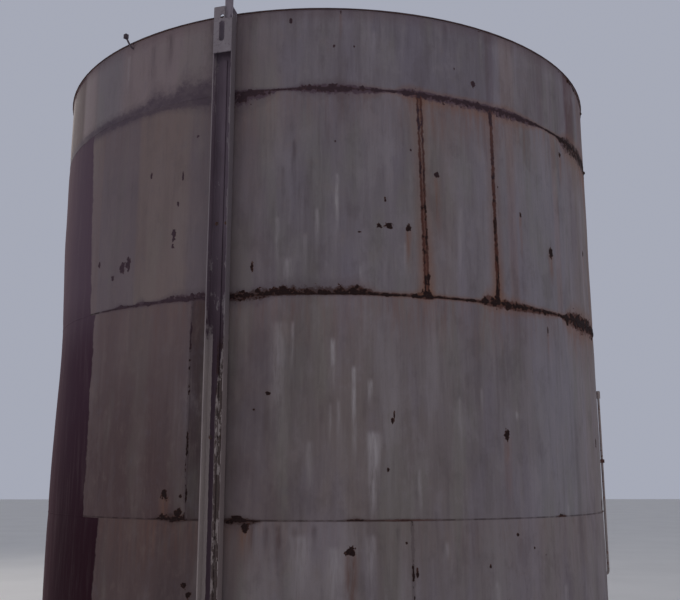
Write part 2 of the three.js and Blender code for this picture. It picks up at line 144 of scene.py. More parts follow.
# Rust along each seam, by bearing: how far it reaches above and below the seam, in tenths of a metre, and
# how much of it runs down. The back, which the photo doesn't show, is kept plain.
RUST_UNIT = 0.1
SEAM_RUST = [
    {
        "above": [
            (-180, 0.08), (-90, 0.03), (-45, 0.02), (-29, 0.02), (-27, 0.2), (-24, 0.32), (-22.8, 0.04),
            (-17.5, 0.04), (-16.5, 0.12), (-13, 0.12), (-10.5, 0.03), (2.5, 0.02), (4, 0.12), (6, 0.04),
            (12, 0.06), (19, 0.03), (24, 0.02), (43, 0.02), (45, 0.1), (46.5, 0.02), (60, 0.02),
            (74, 0.06), (120, 0.08), (180, 0.08),
        ],
        "below": [
            (-180, 0.06), (-90, 0.02), (-45, 0.02), (-28, 0.03), (-25.5, 0.15), (-23.5, 0.12), (-22, 0.03),
            (-17, 0.06), (-15, 0.2), (-11.8, 0.24), (-10, 0.03), (45, 0.02), (60, 0.02), (74, 0.06),
            (120, 0.06), (180, 0.06),
        ],
        "runs": [
            (-180, 0.3), (-46, 0.1), (-28, 0.5), (-22, 0.4), (-16, 0.5), (-10, 0.3), (0, 0.15), (50, 0.2),
            (180, 0.3),
        ],
    },
    {
        "above": [
            (-180, 0.3), (-60, 0.02), (-46, 0.04), (-40, 0.05), (-38.9, 0.22), (-37.6, 0.05),
            (-34.6, 0.06), (-33.8, 0.24), (-32.5, 0.08), (-29, 0.1), (-26.5, 0.26), (-15.8, 0.24),
            (-12.5, 0.18), (-11.5, 0.28), (-8, 0.4), (0, 0.34), (4, 0.44), (6.5, 0.32), (8.5, 0.1),
            (15, 0.12), (16.4, 0.4), (17.6, 0.1), (26.6, 0.08), (28, 0.42), (32, 0.26), (41, 0.12),
            (49, 0.1), (53, 0.5), (66, 0.4), (74, 0.12), (180, 0.2),
        ],
        "below": [
            (-180, 0.2), (-100, 0.1), (-60, 0.02), (-46, 0.04), (-34, 0.1), (-27, 0.08), (-20, 0.12),
            (-15.8, 0.3), (-11, 0.28), (-9, 0.08), (7, 0.06), (15, 0.08), (16.5, 0.18), (18, 0.05),
            (26.6, 0.08), (28.5, 0.25), (35, 0.26), (41, 0.2), (48, 0.08), (50.5, 0.4), (57, 0.6),
            (66, 0.5), (74, 0.12), (180, 0.15),
        ],
        "runs": [
            (-180, 0.5), (-80, 0.2), (-45, 0.1), (-26, 0.3), (-16, 0.45), (8, 0.35), (14, 0.7), (18, 0.8),
            (22, 0.35), (29, 0.75), (34, 0.4), (46, 0.35), (53, 0.9), (66, 0.8), (110, 0.4), (180, 0.5),
        ],
    },
    {
        "above": [
            (-180, 0.3), (-100, 0.2), (-72, 0.25), (-45, 0.24), (-40, 0.26), (-35, 0.3), (-32, 0.62),
            (-29.5, 0.45), (-28, 0.42), (-26, 0.85), (-24.5, 0.65), (-20, 0.68), (-16.6, 0.16),
            (-9.5, 0.07), (-6, 0.06), (-4.5, 0.2), (0.5, 0.28), (4, 0.2), (9.5, 0.08), (12, 0.08),
            (13.2, 0.26), (19, 0.14), (30, 0.16), (34, 0.22), (40, 0.12), (44, 0.06), (51, 0.08),
            (54, 0.34), (70, 0.4), (78, 0.15), (180, 0.2),
        ],
        "below": [
            (-180, 0.3), (-100, 0.15), (-72, 0.25), (-45, 0.24), (-36, 0.22), (-30, 0.18), (-24, 0.3),
            (-20, 0.4), (-16.6, 0.85), (-13.4, 0.55), (-10, 0.32), (-8.8, 0.07), (-6, 0.07), (-4.5, 0.2),
            (0, 0.3), (8, 0.24), (9.5, 0.08), (12, 0.08), (13, 0.2), (18, 0.32), (28, 0.36), (36, 0.34),
            (41, 0.22), (44, 0.08), (50, 0.1), (53, 0.55), (70, 0.7), (78, 0.15), (180, 0.2),
        ],
        "runs": [
            (-180, 0.4), (-72, 0.2), (-18, 0.2), (-12, 0.4), (10, 0.25), (14, 0.8), (22, 0.85), (30, 0.8),
            (44, 0.55), (52, 0.6), (66, 0.95), (120, 0.4), (180, 0.4),
        ],
    },
]

# How dark the line of dirt along each seam is, how much of its rust stands proud, and how thick that is
SEAM_LINES = [0.5, 0.9, 0.7]
SEAM_CRUST = [0.8, 0.95, 0.9]
CRUST_THICKNESS = [0.0025, 0.004, 0.0015]

# Upright welds that carry rust: bearing at the bottom and at the top, how much rust, and half the distance
# between the two lines of rust along the weld's edges.
RUSTY_WELDS = {
    "course_1": [(13.35, 13.35, 0.4, 0.001)],
    "course_2": [(-22.9, -22.9, 0.55, 0.002)],
    "course_3": [(16.55, 15.7, 1.0, 0.0105), (30.4, 30.1, 1.0, 0.005)],
    "top_course": [],
}

# Right edge of the maroon paint that covers the left side, by ring: bearing at the bottom and top.
BAND_EDGES = {"course_1": (-43.6, -42.2), "course_2": (-47.2, -47.0), "course_3": (-48.7, -51.5)}
BAND_FAR_EDGE = -112

# Patches of another tint: (first bearing, last bearing, softness in degrees, tint, strength)
PATCHES = {
    "course_1": [
        (-12, 4, 4, "pale", 0.35), (-28, -19.5, 1.5, "grime", 0.4), (28, 72, 8, "light", 0.3),
        (34, 74, 10, "tan", 0.25),
    ],
    "course_2": [
        # The dark patch from -22.7 to -18, between the upright weld and the gauge channel, is painted shade
        # cast by the channel.
        (-46, -23, 3, "brown", 0.32), (-22.7, -18, 0.4, "channel_shade", 0.9), (-3, 7, 4, "tan", 0.25),
        (22, 40, 6, "slate", 0.25), (38, 52, 5, "sky", 0.45), (57, 72, 4, "tan", 0.4),
    ],
    "course_3": [
        (-46.5, -35.6, 0.5, "slate", 0.3), (-35.5, -24.5, 1.6, "tan", 0.5), (-24, -18, 1.5, "slate", 0.25),
        (14, 22, 3, "tan", 0.35), (33.5, 35.5, 1, "rusty", 0.25), (38, 50, 5, "sky", 0.3),
        (47, 49, 1, "rusty", 0.25), (55, 72, 5, "tan", 0.5), (66, 71, 2, "rusty", 0.35),
    ],
    "top_course": [
        # The pale cream patch from -98 to -69, at the left outline, is painted light from behind.
        (-98, -69, 12, "backlit_glow", 0.34), (-68, -57.5, 2, "brown", 0.8), (-57.5, -51.5, 3, "pink", 0.5),
        (-51, -41, 3, "sky", 0.4), (-42, -18.6, 4, "pink", 0.5), (8, 32, 9, "slate", 0.5),
        (29.3, 31, 0.6, "brown", 0.4), (32.5, 36, 1, "rusty", 0.25), (36, 78, 8, "brown", 0.2),
        (43, 45, 0.6, "brown", 0.25), (54.5, 60, 2.2, "umber", 0.75), (63, 72, 1.5, "rusty", 0.3),
    ],
}

# Spots where the rust has broken out: (bearing, z, half width, half height, length of the run below or 0).
# A run shorter than FRESH_RUN is orange.
RUST_SPOTS = {
    "course_1": [
        (3.6, 1.07, 0.022, 0.024, 0.55), (-22.7, 0.889, 0.014, 0.012, 0), (-21.9, 0.84, 0.017, 0.02, 0),
        (12.4, 1.112, 0.006, 0.008, 0), (26.9, 0.98, 0.006, 0.012, 0), (32.8, 1.137, 0.008, 0.007, 0),
        (14, 0.954, 0.007, 0.024, 0), (30.3, 0.78, 0.014, 0.012, 0), (-12.6, 1.196, 0.022, 0.021, 0.2),
        (36.6, 1.061, 0.005, 0.005, 0), (39.4, 1.018, 0.005, 0.005, 0),
    ],
    "course_2": [
        (31.2, 1.689, 0.019, 0.03, 0.5), (-9.3, 1.9, 0.014, 0.008, 0), (-26.9, 1.356, 0.02, 0.024, 0.2),
        (-23.8, 1.352, 0.008, 0.01, 0), (-24.2, 1.256, 0.024, 0.024, 0.2), (-11.6, 1.812, 0.006, 0.006, 0),
        (10.6, 1.783, 0.005, 0.022, 0), (10.3, 1.75, 0.006, 0.013, 0), (-14.2, 1.24, 0.03, 0.014, 0),
        (64.3, 1.672, 0.012, 0.03, 0), (68, 1.27, 0.012, 0.03, 0.2), (-27.5, 1.247, 0.014, 0.01, 0),
        (43, 2.331, 0.005, 0.02, 0.2), (44.6, 1.236, 0.014, 0.008, 0), (9.5, 1.491, 0.006, 0.009, 0),
    ],
    "course_3": [
        (10, 2.85, 0.026, 0.014, 0), (8.4, 2.848, 0.014, 0.014, 0), (13.5, 2.842, 0.015, 0.018, 0.35),
        (18.7, 3.177, 0.016, 0.014, 0.5), (45.2, 2.838, 0.024, 0.028, 0.25),
        (-38.9, 2.694, 0.024, 0.028, 0), (-37.4, 2.71, 0.018, 0.034, 0), (-41.7, 2.646, 0.018, 0.012, 0),
        (-46.2, 2.754, 0.01, 0.02, 0), (-27, 2.839, 0.013, 0.03, 0), (-27.1, 2.775, 0.01, 0.017, 0),
        (-26.4, 3.026, 0.006, 0.014, 0), (-25.6, 3.194, 0.005, 0.026, 0), (-32.6, 3.235, 0.007, 0.018, 0),
        (-12.4, 2.614, 0.009, 0.028, 0), (-22.8, 3.43, 0.008, 0.009, 0), (14.1, 3.313, 0.006, 0.007, 0),
        (9.5, 2.998, 0.006, 0.015, 0), (31.2, 3.169, 0.005, 0.008, 0), (1.2, 3.342, 0.005, 0.007, 0),
        (50.8, 3.545, 0.012, 0.014, 0.3), (36.6, 3.026, 0.008, 0.014, 0.35), (62, 2.95, 0.009, 0.02, 0.3),
        (5.2, 2.805, 0.01, 0.004, 0),
    ],
    "top_course": [
        (26.5, 3.798, 0.014, 0.022, 0), (2.2, 4.15, 0.005, 0.012, 0.2), (4.4, 3.936, 0.006, 0.007, 0),
        (1, 3.932, 0.006, 0.008, 0), (22.6, 3.87, 0.004, 0.007, 0), (-6.4, 4.1, 0.009, 0.014, 0),
    ],
}
FRESH_RUN = 0.4

# Lumps of rust that break the outline at the right: (bearing, z)
RUST_LUMPS = [(57, 4.152), (71, 4.1), (72.5, 3.655)]

# Chalk that was washed down: (bearing, z at the top, z at the bottom, half width, strength).
# A strength below 0 is that of dirt.
DRIPS = {
    "course_1": [
        (-11.6, 1.21, 0.95, 0.018, -0.6), (-9.3, 1.2, 1.02, 0.012, -0.7), (-7.4, 1.21, 0.9, 0.016, -0.7),
        (-4.9, 1.2, 1, 0.012, -0.55), (-2, 1.21, 0.98, 0.016, -0.5), (10.9, 1.2, 1.05, 0.01, -0.5),
        (19, 1.12, 1, 0.012, 0.8), (28.2, 0.9, 0.68, 0.02, 0.5), (-4, 1.16, 0.7, 0.06, 0.5),
        (1.2, 1.1, 0.62, 0.045, 0.6), (6.8, 1.16, 0.7, 0.03, 0.6), (45, 0.85, 0.6, 0.02, 0.5),
        (3.6, 1.06, 0.5, 0.024, -0.75),
    ],
    "course_2": [
        (0.9, 2.205, 1.86, 0.014, 1), (4.2, 2.05, 1.43, 0.013, 1), (6.8, 1.98, 1.8, 0.013, 1),
        (7.3, 1.7, 1.232, 0.036, 1), (7, 1.45, 1.15, 0.018, 0.6), (-7.7, 2.3, 1.4, 0.04, 0.45),
        (-5.6, 2.3, 1.95, 0.012, 0.5), (1.7, 1.87, 1.6, 0.01, 0.5), (14.6, 1.5, 1.2, 0.012, 0.45),
        (-2.6, 1.65, 1.3, 0.02, 0.4), (33.6, 1.83, 1.76, 0.01, 0.9), (0.4, 1.85, 1.55, 0.008, 0.5),
        (22, 1.9, 1.35, 0.012, 0.35), (26.2, 1.95, 1.75, 0.01, 0.4), (47, 1.3, 1.1, 0.015, 0.5),
    ],
    "course_3": [
        (1.6, 3.15, 2.7, 0.011, 0.95), (-1.7, 2.95, 2.6, 0.012, 0.5), (-8.2, 2.9, 2.46, 0.013, 0.45),
        (12.9, 2.76, 2.52, 0.01, 0.6), (23, 3, 2.6, 0.014, 0.3), (-6.3, 2.66, 2.46, 0.03, 0.5),
        (5.4, 2.62, 2.46, 0.01, 0.5), (-3.6, 2.8, 2.5, 0.012, 0.3), (-5.6, 3.36, 2.95, 0.014, -0.55),
        (-7.4, 3.2, 2.8, 0.011, -0.45), (-4.6, 3.1, 2.8, 0.008, -0.35),
    ],
    "top_course": [
        (-29.5, 4.15, 3.8, 0.03, -0.5), (-20.4, 4.16, 3.7, 0.02, -0.6), (-33.5, 4.1, 3.8, 0.02, -0.4),
        (-13, 4.16, 3.95, 0.03, -0.4), (-3, 4.16, 3.9, 0.02, -0.3), (21, 4.16, 3.9, 0.02, -0.35),
        (36, 4.16, 3.9, 0.02, -0.3), (-40, 4.1, 3.75, 0.014, 0.3), (8, 4.05, 3.8, 0.02, 0.25),
    ],
}


def rgb(code):
    """A linear colour from a display code such as '8d8684'."""
    values = [int(code[i:i + 2], 16) / 255 for i in (0, 2, 4)]
    return [v / 12.92 if v <= 0.04045 else ((v + 0.055) / 1.055) ** 2.4 for v in values] + [1]


CHALKY = rgb("877e85")
CHALKY_LOW = rgb("867b7c")
WARM = rgb("867577")
WARM_LOW = rgb("6a5757")
LIGHT = rgb("918990")
LIGHT_LOW = rgb("978e92")
PALE = rgb("a89fa5")
PALE_WARM = rgb("9a8c8a")
CHALK = rgb("b9b1b5")
SLATE = rgb("78717c")
LAVENDER = rgb("958da1")
OLIVE = rgb("8b8880")
GRIME = rgb("54474c")
STAIN = rgb("8f6350")
PALE_STAIN = rgb("60525d")
ORANGE = rgb("91644a")
RUST_DARK = rgb("2e1f1f")
RUST_BROWN = rgb("60403a")
DULL_RUST = rgb("524040")
FADED_RUST = rgb("5e4b57")
WELD_RUST = rgb("58342e")
WELD_MIDDLE = rgb("70493f")
RIM_STAIN = rgb("6b5058")
BAND_TOP = rgb("64505e")
BAND_MIDDLE = rgb("462c3c")
BAND_LOW = rgb("30111f")
# The next tint, lighter and redder, is painted light from behind at the band's left outline.
BAND_BACKLIT_EDGE = rgb("6e4a52")
MAROON = rgb("4b3a43")
WHITE = rgb("afa2a1")
STEEL = rgb("5c4f55")
# The pale cream tint is painted light from behind at the left outline.
TINTS = {
    "pale": PALE, "grime": GRIME, "light": LIGHT, "slate": SLATE, "tan": rgb("91807b"), "sky": rgb("97949e"),
    # The darkest brown-grey tint, for the strip left of the gauge channel, is painted shade cast by the
    # channel.
    "backlit_glow": rgb("c4b2a4"), "pink": rgb("a8979b"), "brown": rgb("5f494c"), "channel_shade": rgb("524244"),
    "rusty": rgb("9a7059"), "umber": rgb("603a40"),
}

# Where the rust turns pale towards the left, by x
LEFT = (-0.5, -0.66)

# The sky behind the camera and in front of it
DIM_SKY = (0.22, 0.222, 0.235, 1)
PALE_SKY = (0.38, 0.40, 0.475, 1)

# Node materials


class Value:
    """What a node works out. It adds, multiplies and so on as a plain number does."""

    def __init__(self, nodes, socket):
        self.nodes = nodes
        self.socket = socket

    def __add__(self, other):
        return self.nodes.math("ADD", self, other)

    def __sub__(self, other):
        return self.nodes.math("SUBTRACT", self, other)

    def __rsub__(self, other):
        return self.nodes.math("SUBTRACT", other, self)

    def __mul__(self, other):
        return self.nodes.math("MULTIPLY", self, other)

    def __truediv__(self, other):
        return self.nodes.math("DIVIDE", self, other)

    def __abs__(self):
        return self.nodes.math("ABSOLUTE", self)

    def most(self, other):
        return self.nodes.math("MAXIMUM", self, other)

    def step(self, low, high):
        """0 up to low, 1 from high, smooth between. low may be the greater one."""
        inputs = {"Value": self, "From Min": low, "From Max": high}
        return self.nodes.add("ShaderNodeMapRange", inputs, "Result", interpolation_type="SMOOTHSTEP")


class Nodes:
    """Adds nodes to a tree. An input is a number, a vector, a colour or another node's Value."""

    def __init__(self, tree):
        self.tree = tree

    def add(self, kind, inputs, output=0, **settings):
        node = self.tree.nodes.new(kind)
        for key, value in settings.items():
            setattr(node, key, value)
        for key, value in inputs.items():
            if isinstance(value, Value):
                self.tree.links.new(value.socket, node.inputs[key])
            else:
                node.inputs[key].default_value = value
        return Value(self, node.outputs[output])

    def math(self, operation, *values):
        return self.add("ShaderNodeMath", dict(enumerate(values)), operation=operation)

    def mix(self, factor, first, second):
        return self.add("ShaderNodeMix", {0: factor, 6: first, 7: second}, 2, data_type="RGBA")


class Paint(Nodes):
    """Builds one material by laying colours over each other and adding relief."""

    def __init__(self, name, color=None):
        self.material = bpy.data.materials.new(name)
        self.material.use_nodes = True
        super().__init__(self.material.node_tree)
        self.tree.nodes.clear()
        self.color = color
        self.normal = None
        self.position = self.add("ShaderNodeTexCoord", {}, "Object")
        split = self.add("ShaderNodeSeparateXYZ", {0: self.position}).socket.node
        self.x, self.y, self.z = [Value(self, output) for output in split.outputs]

    def lay(self, tint, amount):
        self.color = self.mix(amount, self.color, tint)

    def bump(self, height, distance, strength):
        inputs = {"Height": height, "Distance": distance, "Strength": strength}
        if self.normal is not None:
            inputs["Normal"] = self.normal
        self.normal = self.add("ShaderNodeBump", inputs, "Normal")

    def noise(self, scale, detail=3.0, roughness=0.55, stretch=1.0, shift=0.0):
        """Noise over the piece. A stretch above 1 draws it out along Z, as rain does."""
        location, size = (shift, 2 * shift, 3 * shift), (1, 1, 1 / stretch)
        inputs = {"Vector": self.position, "Location": location, "Scale": size}
        place = self.add("ShaderNodeMapping", inputs)
        inputs = {"Vector": place, "Scale": scale, "Detail": detail, "Roughness": roughness}
        return self.add("ShaderNodeTexNoise", inputs, "Fac")

    def bearing(self):
        return self.math("DEGREES", self.math("ARCTAN2", self.x, self.y * -1))

    def around(self, bearing, points):
        """A value by bearing, from (bearing, value) points in rising order, with straight lines between."""
        value = self.add("ShaderNodeValToRGB", {0: bearing * (1 / 360) + 0.5})
        ramp = value.socket.node.color_ramp
        while len(ramp.elements) < len(points):
            ramp.elements.new(0.5)
        for element, (at, level) in zip(ramp.elements, points):
            element.position = at / 360 + 0.5
            element.color = (level, level, level, 1)
        return value

    def finish(self, roughness, specular=0.5):
        inputs = {"Base Color": self.color, "Roughness": roughness, "Specular IOR Level": specular}
        if self.normal is not None:
            inputs["Normal"] = self.normal
        shader = self.add("ShaderNodeBsdfPrincipled", inputs)
        out = self.tree.nodes.new("ShaderNodeOutputMaterial")
        self.tree.links.new(shader.socket, out.inputs["Surface"])
        return self.material


def column(paint, bearing, at, half_width, z_top, z_bottom, wander):
    """A soft upright mark with a round head, fading towards its foot."""
    side = abs((bearing - at) * ARC_PER_DEGREE + wander).step(half_width * 1.6, 0)
    head = paint.z.step(z_top + 0.01, z_top - 0.03)
    foot = paint.z.step(z_bottom, z_bottom + 0.85 * (z_top - z_bottom))
    return side * head * foot


def upright_distance(paint, bearing, course, at_bottom, at_top):
    """Signed distance along the shell from a line between two bearings."""
    low, high = COURSES[course]["bottom"], COURSES[course]["top"]
    lean = (at_top - at_bottom) / (high - low)
    return (bearing - at_bottom - (paint.z - low) * lean) * ARC_PER_DEGREE


def shell_coat(paint, bearing, course, grain):
    """The old paint: warmer and darker low on the left, lighter on the right, with patches and streaks."""
    broad = paint.noise(7, 3, 0.55, stretch=10, shift=2)
    hue = paint.noise(6, 3, 0.5, stretch=5, shift=27)
    streaks = paint.noise(26, 4, 0.65, stretch=13)
    fine_streaks = paint.noise(75, 4, 0.65, stretch=16, shift=3)
    smears = paint.noise(60, 3, 0.6, stretch=7, shift=21)
    cloud = paint.noise(1.7, 3, stretch=1.6, shift=5)
    mottle = paint.noise(16, 5, 0.65, stretch=1.6, shift=7)
    bloom = paint.noise(6, 5, 0.65, stretch=1.7, shift=44)

    side = paint.x + (cloud - 0.5) * 1.2
    lower = paint.z.step(2.6, 1.9)
    paint.color = paint.mix(paint.z.step(2.6, 1.4), WARM, WARM_LOW)
    paint.lay(paint.mix(lower, CHALKY, CHALKY_LOW), side.step(-1.0, -0.1))
    paint.lay(paint.mix(lower, LIGHT, LIGHT_LOW), side.step(0.2, 1.6))
    pale = paint.mix(side.step(-0.9, 0.2), PALE_WARM, PALE)
    for first, last, soft, tint, strength in PATCHES[course]:
        place = bearing + (cloud - 0.5) * soft
        inside = place.step(first - soft / 2, first + soft / 2) * place.step(last + soft / 2, last - soft / 2)
        paint.lay(TINTS[tint], inside * strength)
    much = side.step(-1.1, -0.3) * 0.5 + 0.5
    paint.lay(LAVENDER, side.step(-1.0, -0.1) * hue.step(0.5, 0.66) * 0.2)
    paint.lay(OLIVE, much * hue.step(0.5, 0.34) * 0.3)
    for pattern, near, far, lightest, darkest in (
        (broad, 0.01, 0.25, 0.4, 0.3), (streaks, 0.01, 0.25, 0.22, 0.25),
        (fine_streaks, 0.01, 0.25, 0.13, 0.13), (bloom, 0.02, 0.16, 0.2, 0.2),
    ):
        paint.lay(pale, much * pattern.step(0.5 + near, 0.5 + far) * lightest)
        paint.lay(GRIME, much * pattern.step(0.5 - near, 0.5 - far) * darkest)
    paint.lay(GRIME, smears.step(0.6, 0.74) * cloud.step(0.5, 0.65) * 0.27)
    paint.lay(SLATE, mottle.step(0.5, 0.8) * 0.25)
    paint.lay(TINTS["tan"], mottle.step(0.48, 0.2) * 0.25)
    paint.lay(GRIME, grain.step(0.5, 0.85) * 0.22)
    return streaks, mottle


def seam_stains(paint, bearing, course, ragged):
    """Runs, halos and the line of rust at the seams below and above a ring."""
    left = paint.x.step(*LEFT)
    orange = paint.x.step(-0.1, 0.6)
    for index, seam in enumerate(SEAMS):
        if seam not in (COURSES[course]["bottom"], COURSES[course]["top"]):
            continue
        rust = SEAM_RUST[index]
        below = seam == COURSES[course]["top"]
        offset = paint.z - seam
        if below:
            runs = paint.noise(36, 4, 0.65, stretch=11, shift=13 + index).step(0.36, 0.72) + 0.2
            paint.lay(STAIN, offset.step(-0.42, 0.03) * runs * paint.around(bearing, rust["runs"]) * 0.6)
        reach = paint.around(bearing, rust["below" if below else "above"]) * RUST_UNIT
        edge = abs(offset) / reach + ragged * 2.6
        outer, inner, strength, clear = 1.35, 0.75, 0.9, 1
        body_tint = paint.mix(orange, DULL_RUST, RUST_BROWN)
        halo_tint = paint.mix(orange, PALE_STAIN, ORANGE)
        if index == 0:
            halo_tint = DULL_RUST
        elif index == 1:
            body_tint = paint.mix(left * 0.75, body_tint, FADED_RUST)
        else:
            blotchy = paint.noise(10, 4, 0.65, stretch=0.7, shift=81).step(0.42, 0.6)
            edge = edge - left * 0.45
            outer = left * 0.25 + outer
            inner = inner - left * 0.25
            strength = strength - left * (0.25 - blotchy * 0.25)
            clear = clear - left * 0.75
            faded = paint.mix(paint.x.step(1.5, 1.65), FADED_RUST, DULL_RUST)
            body_tint = paint.mix(left, faded, PALE_STAIN)
        worn = paint.noise(15, 4, 0.7, shift=71 + index).step(0.62, 0.42)
        paint.lay(halo_tint, edge.step(3.2, 1.0) * 0.34)
        paint.lay(body_tint, edge.step(outer, inner) * reach.step(0.002, 0.006) * strength)
        paint.lay(RUST_DARK, abs(offset).step(0.005, 0.0025) * worn * clear * SEAM_LINES[index])


def weld_stains(paint, bearing, course, ragged):
    """Rust along both edges of an upright weld, in a halo that widens towards its foot."""
    low = COURSES[course]["bottom"]
    heavy = course == "course_3"
    for at_bottom, at_top, amount, apart in RUSTY_WELDS[course]:
        across = abs(upright_distance(paint, bearing, course, at_bottom, at_top) + ragged * 0.03)
        if heavy:
            foot = paint.z.step(low + 0.6, low)
            paint.lay(ORANGE, across.step(0.075, 0.008) * (foot * 0.4 + 0.24))
            paint.lay(WELD_MIDDLE, across.step(0.018, 0.009) * paint.z.step(low + 1.4, low + 0.2) * 0.85)
        lines = abs(across - apart).step(0.0105, 0.004)
        paint.lay(WELD_RUST if heavy else GRIME, lines * amount * 0.85)


def maroon_band(paint, bearing, course, ragged, streaks):
    """The maroon paint on the left side, darker towards the foot. Towards the left outline it is painted
    lighter and redder, as painted light from behind.
    """
    away = upright_distance(paint, bearing, course, *BAND_EDGES[course])
    away = away + ragged * 0.03 + (paint.noise(6, 2, shift=51) - 0.5) * 0.05
    far_side = bearing + ragged * 3
    band = away.step(0.012, 0.0) * far_side.step(BAND_FAR_EDGE - 0.5, BAND_FAR_EDGE)
    tint = paint.mix(paint.z.step(2.7, 2.1), BAND_TOP, BAND_MIDDLE)
    tint = paint.mix(paint.z.step(2.2, 0.9), tint, BAND_LOW)
    # Painted light from behind: lighter and redder towards the left outline.
    tint = paint.mix(paint.x.step(-1.62, -1.95) * 0.6, tint, BAND_BACKLIT_EDGE)
    tint = paint.mix(streaks.step(0.45, 0.75) * 0.15, tint, WARM)
    paint.lay(tint, band * 0.97)
    return band


def shell_paint(course):
    """Weathered paint on the plates of one ring, with its chalk, runs, stains, band and bare rust."""
    paint = Paint(f"{course}_paint")
    bearing = paint.bearing()
    grain = paint.noise(170, 3, 0.7, shift=9)
    ragged = paint.noise(34, 5, 0.7, shift=1) - 0.5
    wander = (paint.noise(9, 2, 0.5, stretch=3, shift=6) - 0.5) * 0.025
    broken = paint.noise(60, 3, 0.6, stretch=8, shift=33).step(0.3, 0.65)

    streaks, mottle = shell_coat(paint, bearing, course, grain)
    for at, z_top, z_bottom, half_width, strength in DRIPS[course]:
        drip = column(paint, bearing, at, half_width, z_top, z_bottom, wander)
        paint.lay(CHALK if strength > 0 else GRIME, drip * abs(strength) * (broken * 0.7 + 0.3))
    seam_stains(paint, bearing, course, ragged)
    if course == "top_course":
        below = SHELL_TOP - paint.z + ragged * 0.1
        paint.lay(RIM_STAIN, below.step(0.1, 0.0) * 0.3)
    weld_stains(paint, bearing, course, ragged)
    for at, z, half_width, _, length in RUST_SPOTS[course]:
        if length:
            run = column(paint, bearing, at, half_width * 1.5, z, z - length, wander) * (broken + 0.3)
            fresh = length < FRESH_RUN
            paint.lay(ORANGE if fresh else STAIN, run * (0.42 if fresh else 0.34))
    flecks = paint.noise(70, 3, 0.7, stretch=1.5, shift=31).step(0.7, 0.73)
    scarce = paint.noise(3.1, 2, shift=41).step(0.52, 0.72)
    paint.lay(RUST_BROWN, flecks * scarce * 0.7)
    rough = grain * 0.25 + 0.62
    if course in BAND_EDGES:
        rough = rough + maroon_band(paint, bearing, course, ragged, streaks) * 0.2

    paint.bump(grain, 0.0008, 0.5)
    paint.bump(mottle, 0.002, 0.35)
    paint.bump(paint.noise(5, 2, stretch=2, shift=61), 0.008, 0.3)
    return paint.finish(rough, specular=0.17)


def rust_material():
    """Thick flaking rust: black-brown where it is thick, red-brown at its edges, faded high up."""
    paint = Paint("flaking_rust")
    thick = paint.add("ShaderNodeAttribute", {}, "Fac", attribute_name="thick")
    grain = paint.noise(190, 4, 0.7)
    lumps = paint.noise(70, 3, 0.6, shift=2)
    left = paint.x.step(*LEFT)
    right = paint.x.step(1.1, 1.6)
    paint.color = paint.mix(thick.step(0.0, 0.2), rgb("6b504a"), rgb("523832"))
    paint.lay(RUST_DARK, thick.step(0.1, 0.6))
    paint.lay(rgb("65433a"), lumps.step(0.55, 0.75) * 0.35)
    faded_high = paint.z.step(2.9, 3.5) * (left * 0.45 + 0.4 - right * 0.4)
    faded_left = left * paint.z.step(2.0, 2.4) * 0.6
    paint.lay(FADED_RUST, faded_high.most(faded_left))
    paint.bump(lumps, 0.004, 0.8)
    paint.bump(grain, 0.002, 0.9)
    return paint.finish(grain * 0.2 + 0.8, specular=0.2)


def weathered(name, base, light, dark, rust=0.4, scale=1.0):
    """A plain weathered coat for fittings: base colour, worn light and dark patches, and rust."""
    paint = Paint(name, base)
    patches = paint.noise(9 * scale, 4, 0.6)
    streaks = paint.noise(38 * scale, 3, 0.6, stretch=7, shift=4)
    grain = paint.noise(210 * scale, 3, 0.65, shift=9)
    bare = paint.noise(24 * scale, 5, 0.68, shift=17)
    edge = 0.72 - 0.3 * rust
    paint.lay(light, patches.step(0.45, 0.7) * 0.6)
    paint.lay(dark, streaks.step(0.5, 0.75) * 0.55)
    paint.lay(STAIN, bare.step(edge - 0.05, edge + 0.02) * 0.75)
    paint.lay(RUST_BROWN, bare.step(edge + 0.01, edge + 0.05))
    paint.lay(RUST_DARK, grain.step(0.55, 0.8) * 0.3)
    paint.bump(bare, 0.0025, 0.6)
    paint.bump(grain, 0.001, 0.7)
    return paint.finish(patches * 0.3 + 0.55, specular=0.35)


def roof_paint():
    """Dusty roof paint: dried puddles, dust, and rust that creeps in from the rim and the welds, with painted
    shade as a dark ring on the plates' very edge.
    """
    paint = Paint("roof_paint", CHALKY)
    away = paint.math("SQRT", paint.x * paint.x + paint.y * paint.y)
    patches = paint.noise(2.2, 4, 0.6)
    blotches = paint.noise(7, 5, 0.65, shift=5)
    grain = paint.noise(120, 3, 0.6, shift=9)
    pits = paint.noise(31, 4, 0.7, shift=13)
    rim = away + (blotches - 0.5) * 0.5
    paint.lay(rgb("6d6664"), patches.step(0.35, 0.65))
    paint.lay(PALE, blotches.step(0.5, 0.68) * 0.6)
    paint.lay(STAIN, rim.step(1.72, 1.98) * 0.75)
    paint.lay(RUST_BROWN, rim.step(1.95, 2.06))
    # The dark blue-grey ring on the plates' very edge is painted shade at the roof's overhanging edge.
    paint.lay(rgb("54464c"), away.step(1.983, 1.986))
    paint.lay(RUST_BROWN, pits.step(0.62, 0.68) * patches.step(0.4, 0.6))
    paint.bump(blotches, 0.004, 0.4)
    paint.bump(grain, 0.001, 0.5)
    return paint.finish(grain * 0.2 + 0.7, specular=0.3)


